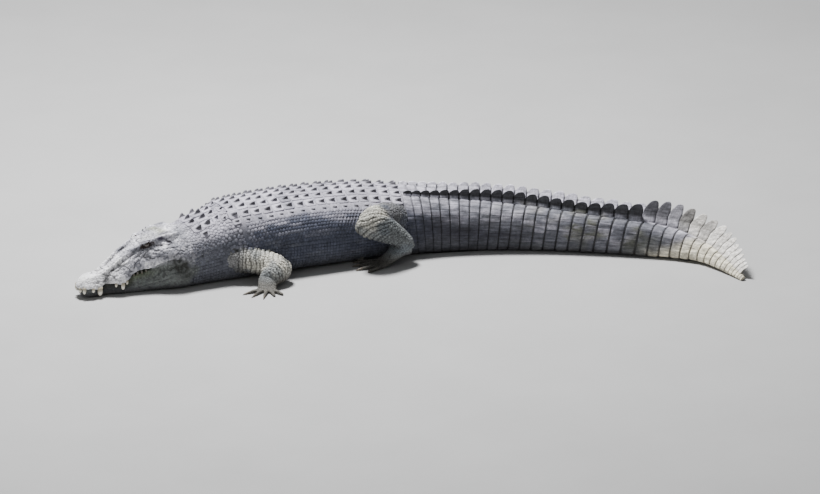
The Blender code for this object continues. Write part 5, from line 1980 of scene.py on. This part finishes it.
# %% Lay the head's scales
def head_spacing(points):
    """Finest round the eyes and lips, coarsest behind the jaw."""
    s = locate(points)[0]
    spacing = 0.01 + 0.0045 * fade(s, 0.3, 0.62)
    spacing = spacing * (0.5 + 0.5 * fade(eye_gap(points), 0.028, 0.06))
    return spacing * (0.75 + 0.25 * fade(s, 0.02, 0.1))


head = (TRIANGLE_REGION == HEAD) & (middle_station < 0.665) & (MIDDLES[:, 2] > 0.006)
head &= eye_gap(MIDDLES) > EYE_RADIUS + 0.0015
where, normals, triangle = scatter(head, head_spacing, 81)
region = TRIANGLE_REGION[triangle]
along = heading_at(where, region)
spacing = head_spacing(where)
radii = cells(where, normals, along, 0.8 * spacing, 0.96)
station, offset = locate(where)
sizes = np.stack([spacing, spacing, 0.05 * spacing + 0.0004], axis=1)
colours = mottled(where, normals, region, 82, 0.06)
upper = np.abs(girth_of(where, station, offset)) < 0.5
for name, part in (("crown_scales", upper), ("jaw_scales", ~upper)):
    lay(name, PEBBLE, where[part], along[part], normals[part], sizes[part], colours[part],
        body_uv(where[part]), "hide_head", radii[part], tilt=0.03, deep=0.8, draped=region[part])

# %% [markdown]
# ## Eyes
#
# A crocodile's eye is a ball with a slit that stands upright. Its iris is painted dark brown as
# painted shade from the brow. The ball has the size of the imported one and sits as deep as the
# lids leave it. Its colours are painted on its own fine mesh: iris, the rings round it, the slit.

# %% Make the eyes
# The iris is darkened as painted shade from the brow.
IRIS = linear(46, 31, 23)
IRIS_EDGE = linear(28, 20, 14)
EYE_RIM = linear(52, 40, 36)
WET_EYE, nodes, links, shader = material("wet_eye")
colour_node = nodes.new("ShaderNodeAttribute")
colour_node.attribute_name = "Hide"
links.new(colour_node.outputs["Color"], shader.inputs["Base Color"])
set_inputs(shader, Roughness=0.06, Coat_Weight=1.0, Coat_Roughness=0.03)

for word, side in (("left", 1), ("right", -1)):
    bpy.ops.object.select_all(action="DESELECT")
    bpy.ops.mesh.primitive_uv_sphere_add(segments=96, ring_count=48, radius=EYE_RADIUS * 0.985,
                                         location=tuple(EYES[word]))
    eye = bpy.context.active_object
    bpy.ops.object.transform_apply(location=True, rotation=True, scale=True)
    eye.name = "eyeball_" + word
    eye.data.shade_smooth()
    arm = (points_of(eye) - EYES[word]) / EYE_RADIUS
    ahead, up = arm @ HEAD_FORWARD, arm @ eye_axes(side)[1]
    out = np.hypot(ahead, up)
    colour = plain(IRIS, len(arm)) * (1 + 0.35 * soft_noise(arm, 91, 0.25))[:, None]
    colour = blend(colour, IRIS_EDGE, fade(out, 0.52, 0.62))
    colour = blend(colour, EYE_RIM, fade(out, 0.66, 0.8))
    slit = fade(np.abs(ahead), 0.1, 0.06) * fade(np.abs(up), 0.5, 0.42)
    colour = blend(colour, np.full(3, 0.004), slit)
    paint(eye, np.clip(colour, 0.003, 0.9))
    eye.data.materials.append(WET_EYE)
    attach(eye, "root")
    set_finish(eye, "eye")
    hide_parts("eye_" + word)
print("eyes of radius", round(EYE_RADIUS * 1000, 1), "mm")

# %% [markdown]
# ## Teeth
#
# Only the teeth that show on a closed mouth are made. A crocodile's upper teeth stand outside the
# lower lip, and where the lips part a little under the cheek a few lower ones show too. A tooth is
# a stout cone that curves inwards: a circle extruded in steps that get smaller and shift sideways.

# %% Make the teeth
UPPER_TEETH = ((0.01, 0.62, 0.024, 0.007), (0.026, 0.84, 0.034, 0.0085), (0.075, 0.93, 0.024, 0.007),
               (0.122, 0.93, 0.044, 0.012), (0.222, 0.93, 0.022, 0.006), (0.262, 0.94, 0.036, 0.0095),
               (0.289, 0.95, 0.022, 0.006))
LOWER_TEETH = ((0.345, 0.9, 0.015, 0.0055), (0.37, 0.9, 0.018, 0.006), (0.398, 0.9, 0.018, 0.006),
               (0.424, 0.9, 0.015, 0.0055))

TOOTH_STEPS = ((0.3, 1.02, 0.0), (0.22, 0.98, 0.02), (0.22, 0.95, 0.05), (0.2, 0.88, 0.09),
               (0.17, 0.76, 0.13), (0.12, 0.56, 0.15), (0.05, 0.35, 0.1))
TOOTH_FOOT = linear(168, 160, 140)
TOOTH_TOP = linear(240, 236, 222)
TOOTH_SPOT = (0.3, 0.985)

thing = new_shape(bpy.ops.mesh.primitive_circle_add, vertices=14, radius=1.0, fill_type="NGON",
                  location=(0, 0, -0.3))
for rise, shrink, shift in TOOTH_STEPS:
    bpy.ops.mesh.extrude_region_move(TRANSFORM_OT_translate={"value": (-shift, 0, rise)})
    bpy.ops.transform.resize(value=(shrink, shrink, 1))
TOOTH_FORM = read_master(thing)


def set_teeth(name, rows, upper):
    """A row of teeth on both sides, curving inwards."""
    places = []
    x, y, z = TOOTH_FORM["points"].T
    z = z / z.max()
    for s, share, length, radius in rows:
        lip = at(LIP_WIDTH, s) - (0.0 if upper else JAW_INSET)
        root = at(UPPER_LIP, s) - (0.0 if upper else at(MOUTH_OPENING, s))
        for side in (1, -1):
            height = root + (-z if upper else z) * length
            stout = 1.3 if upper else 1.1
            offset = side * (share * lip + x * radius * stout + 0.003)
            back = y * radius * stout + 0.06 * length * np.clip(z, 0, 1) ** 2
            places.append(place(s, offset, height, back))
    # Painted shade: the lower teeth are much darker, as they stand in the shaded gap between the lips.
    foot, top = (TOOTH_FOOT, TOOTH_TOP) if upper else (TOOTH_FOOT * 0.35, TOOTH_TOP * 0.22)
    tone = blend(plain(foot, len(x)), top, fade(z, 0.1, 0.4))
    colours = np.tile(tone[None], (len(places), 1, 1))
    uv = np.tile(TOOTH_SPOT, (len(places), 1))
    thing = joined(name, TOOTH_FORM, np.array(places), colours, uv, "hide_head", TOOTH)
    del thing["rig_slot"]


set_teeth("upper_teeth", UPPER_TEETH, True)
set_teeth("lower_teeth", LOWER_TEETH, False)

# %% [markdown]
# ## Claws
#
# Three toes of every foot end in a claw. Each claw is a flattened cone that arches down. It takes
# its place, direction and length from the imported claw, which it replaces.

# %% Make the claws
CLAW_STEPS = ((0.35, 1.02, 0.0), (0.25, 0.92, 0.03), (0.22, 0.84, 0.08), (0.2, 0.74, 0.15),
              (0.17, 0.6, 0.22), (0.1, 0.42, 0.22), (0.04, 0.3, 0.12))
CLAW_TONE = linear(150, 138, 122)

thing = new_shape(bpy.ops.mesh.primitive_circle_add, vertices=12, radius=1.0, fill_type="NGON",
                  rotation=(0, math.pi / 2, 0), location=(-0.35, 0, 0))
for move, shrink, drop in CLAW_STEPS:
    bpy.ops.mesh.extrude_region_move(TRANSFORM_OT_translate={"value": (move, 0, -drop)})
    bpy.ops.transform.resize(value=(1, shrink, shrink))
CLAW_FORM = read_master(thing)


def make_claw(node):
    """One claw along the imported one."""
    corners = points_of(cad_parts[node])
    limb = next(code for code, parts in LIMB_PARTS.items() if parts[2].split("_")[1] in node
                and ("hand" in parts[2]) == ("front" in node))
    middle = corners.mean(axis=0)
    axis = unit(np.linalg.svd(corners - middle)[2][0])
    axis *= np.sign(axis @ (middle - BONES[limb][2]))
    reach = (corners - middle) @ axis
    root = middle + axis * (reach.min() + 0.002)
    length = float(np.ptp(reach)) + 0.004
    up = unit(np.array([0.0, 0.0, 1.0]) - axis * axis[2])
    across = np.cross(up, axis)
    spread = float(np.abs((corners - middle) @ across).max())
    x, y, z = CLAW_FORM["points"].T
    x = x / x.max()
    points = root + (x * length)[:, None] * axis + (y * spread * 0.8)[:, None] * across
    points = points + (z * spread * 0.85)[:, None] * up
    lift = max(OFF_FLOOR - float(points[:, 2].min()), 0.0)
    points[:, 2] += lift * np.clip(x, 0, 1)
    colours = np.ones((1, len(x), 3)) * CLAW_TONE
    uv = unwrap(root[None], np.array([limb]))
    thing = joined(node + "_horn", CLAW_FORM, points[None], colours, uv, "claw", HORN)
    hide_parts(node)


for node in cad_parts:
    if node.startswith("claw_"):
        make_claw(node)

# %% [markdown]
# ## The skin stands for the flesh
#
# The skin is one piece on the one body of the figure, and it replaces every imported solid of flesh.

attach(skin, "root")
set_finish(skin, "hide_body")
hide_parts(*FLESH)
skin.data.shade_smooth()

# %% [markdown]
# ## Floor, light and camera
#
# The figure lies on a plain pale floor. A broad soft lamp stands high above the head's end and a
# little behind it, and a weak one fills the near side. The camera stands far off and twenty
# degrees above the floor with a long lens, so that near and far parts keep their sizes.

# %% Build the stage
floor_material, nodes, links, shader = material("pale_floor")
grain = noise_node(nodes, links, 1.2)
shade = ramp(nodes, links, grain.outputs["Fac"], ((0.3, 0.38), (0.7, 0.41)))
links.new(shade, shader.inputs["Base Color"])
set_inputs(shader, Roughness=0.85)
bpy.ops.object.select_all(action="DESELECT")
bpy.ops.mesh.primitive_plane_add(size=60, location=(0, 0, 0))
floor = bpy.context.active_object
floor.name = "floor"
floor.data.materials.append(floor_material)


def lamp(name, location, target, size, power):
    """A square area lamp aimed at a point."""
    data = bpy.data.lights.new(name, "AREA")
    data.shape = "SQUARE"
    data.size = size
    data.energy = power
    thing = add_object(name, data)
    thing.location = location
    thing.rotation_euler = (Vector(target) - Vector(location)).to_track_quat("-Z", "Y").to_euler()


lamp("high_lamp", (-2.2, 1.6, 8.6), (-0.1, 0, 0), 1.8, 2450)
lamp("fill_lamp", (-3.5, -7.0, 4.0), (0, 0, 0.2), 4.0, 60)
world = bpy.data.worlds.new("studio")
bpy.context.scene.world = world
world.use_nodes = True
set_inputs(world.node_tree.nodes["Background"], Color=(0.96, 0.98, 1.0, 1), Strength=0.22)

CAMERA_TARGET = np.array([-0.016, 0.0, 0.103])
CAMERA_DISTANCE = 60.0
CAMERA_RISE = math.radians(20)
camera_data = bpy.data.cameras.new("camera")
camera_data.lens = 432.5
camera_data.sensor_width = 36.0
camera_data.clip_end = 400.0
camera = add_object("camera", camera_data)
away = np.array([0, -math.cos(CAMERA_RISE), math.sin(CAMERA_RISE)])
camera.location = CAMERA_TARGET + CAMERA_DISTANCE * away
camera.rotation_euler = (math.pi / 2 - CAMERA_RISE, 0, 0)
bpy.context.scene.camera = camera
print("the camera stands", round(float(camera.location.z), 2), "m above the floor")
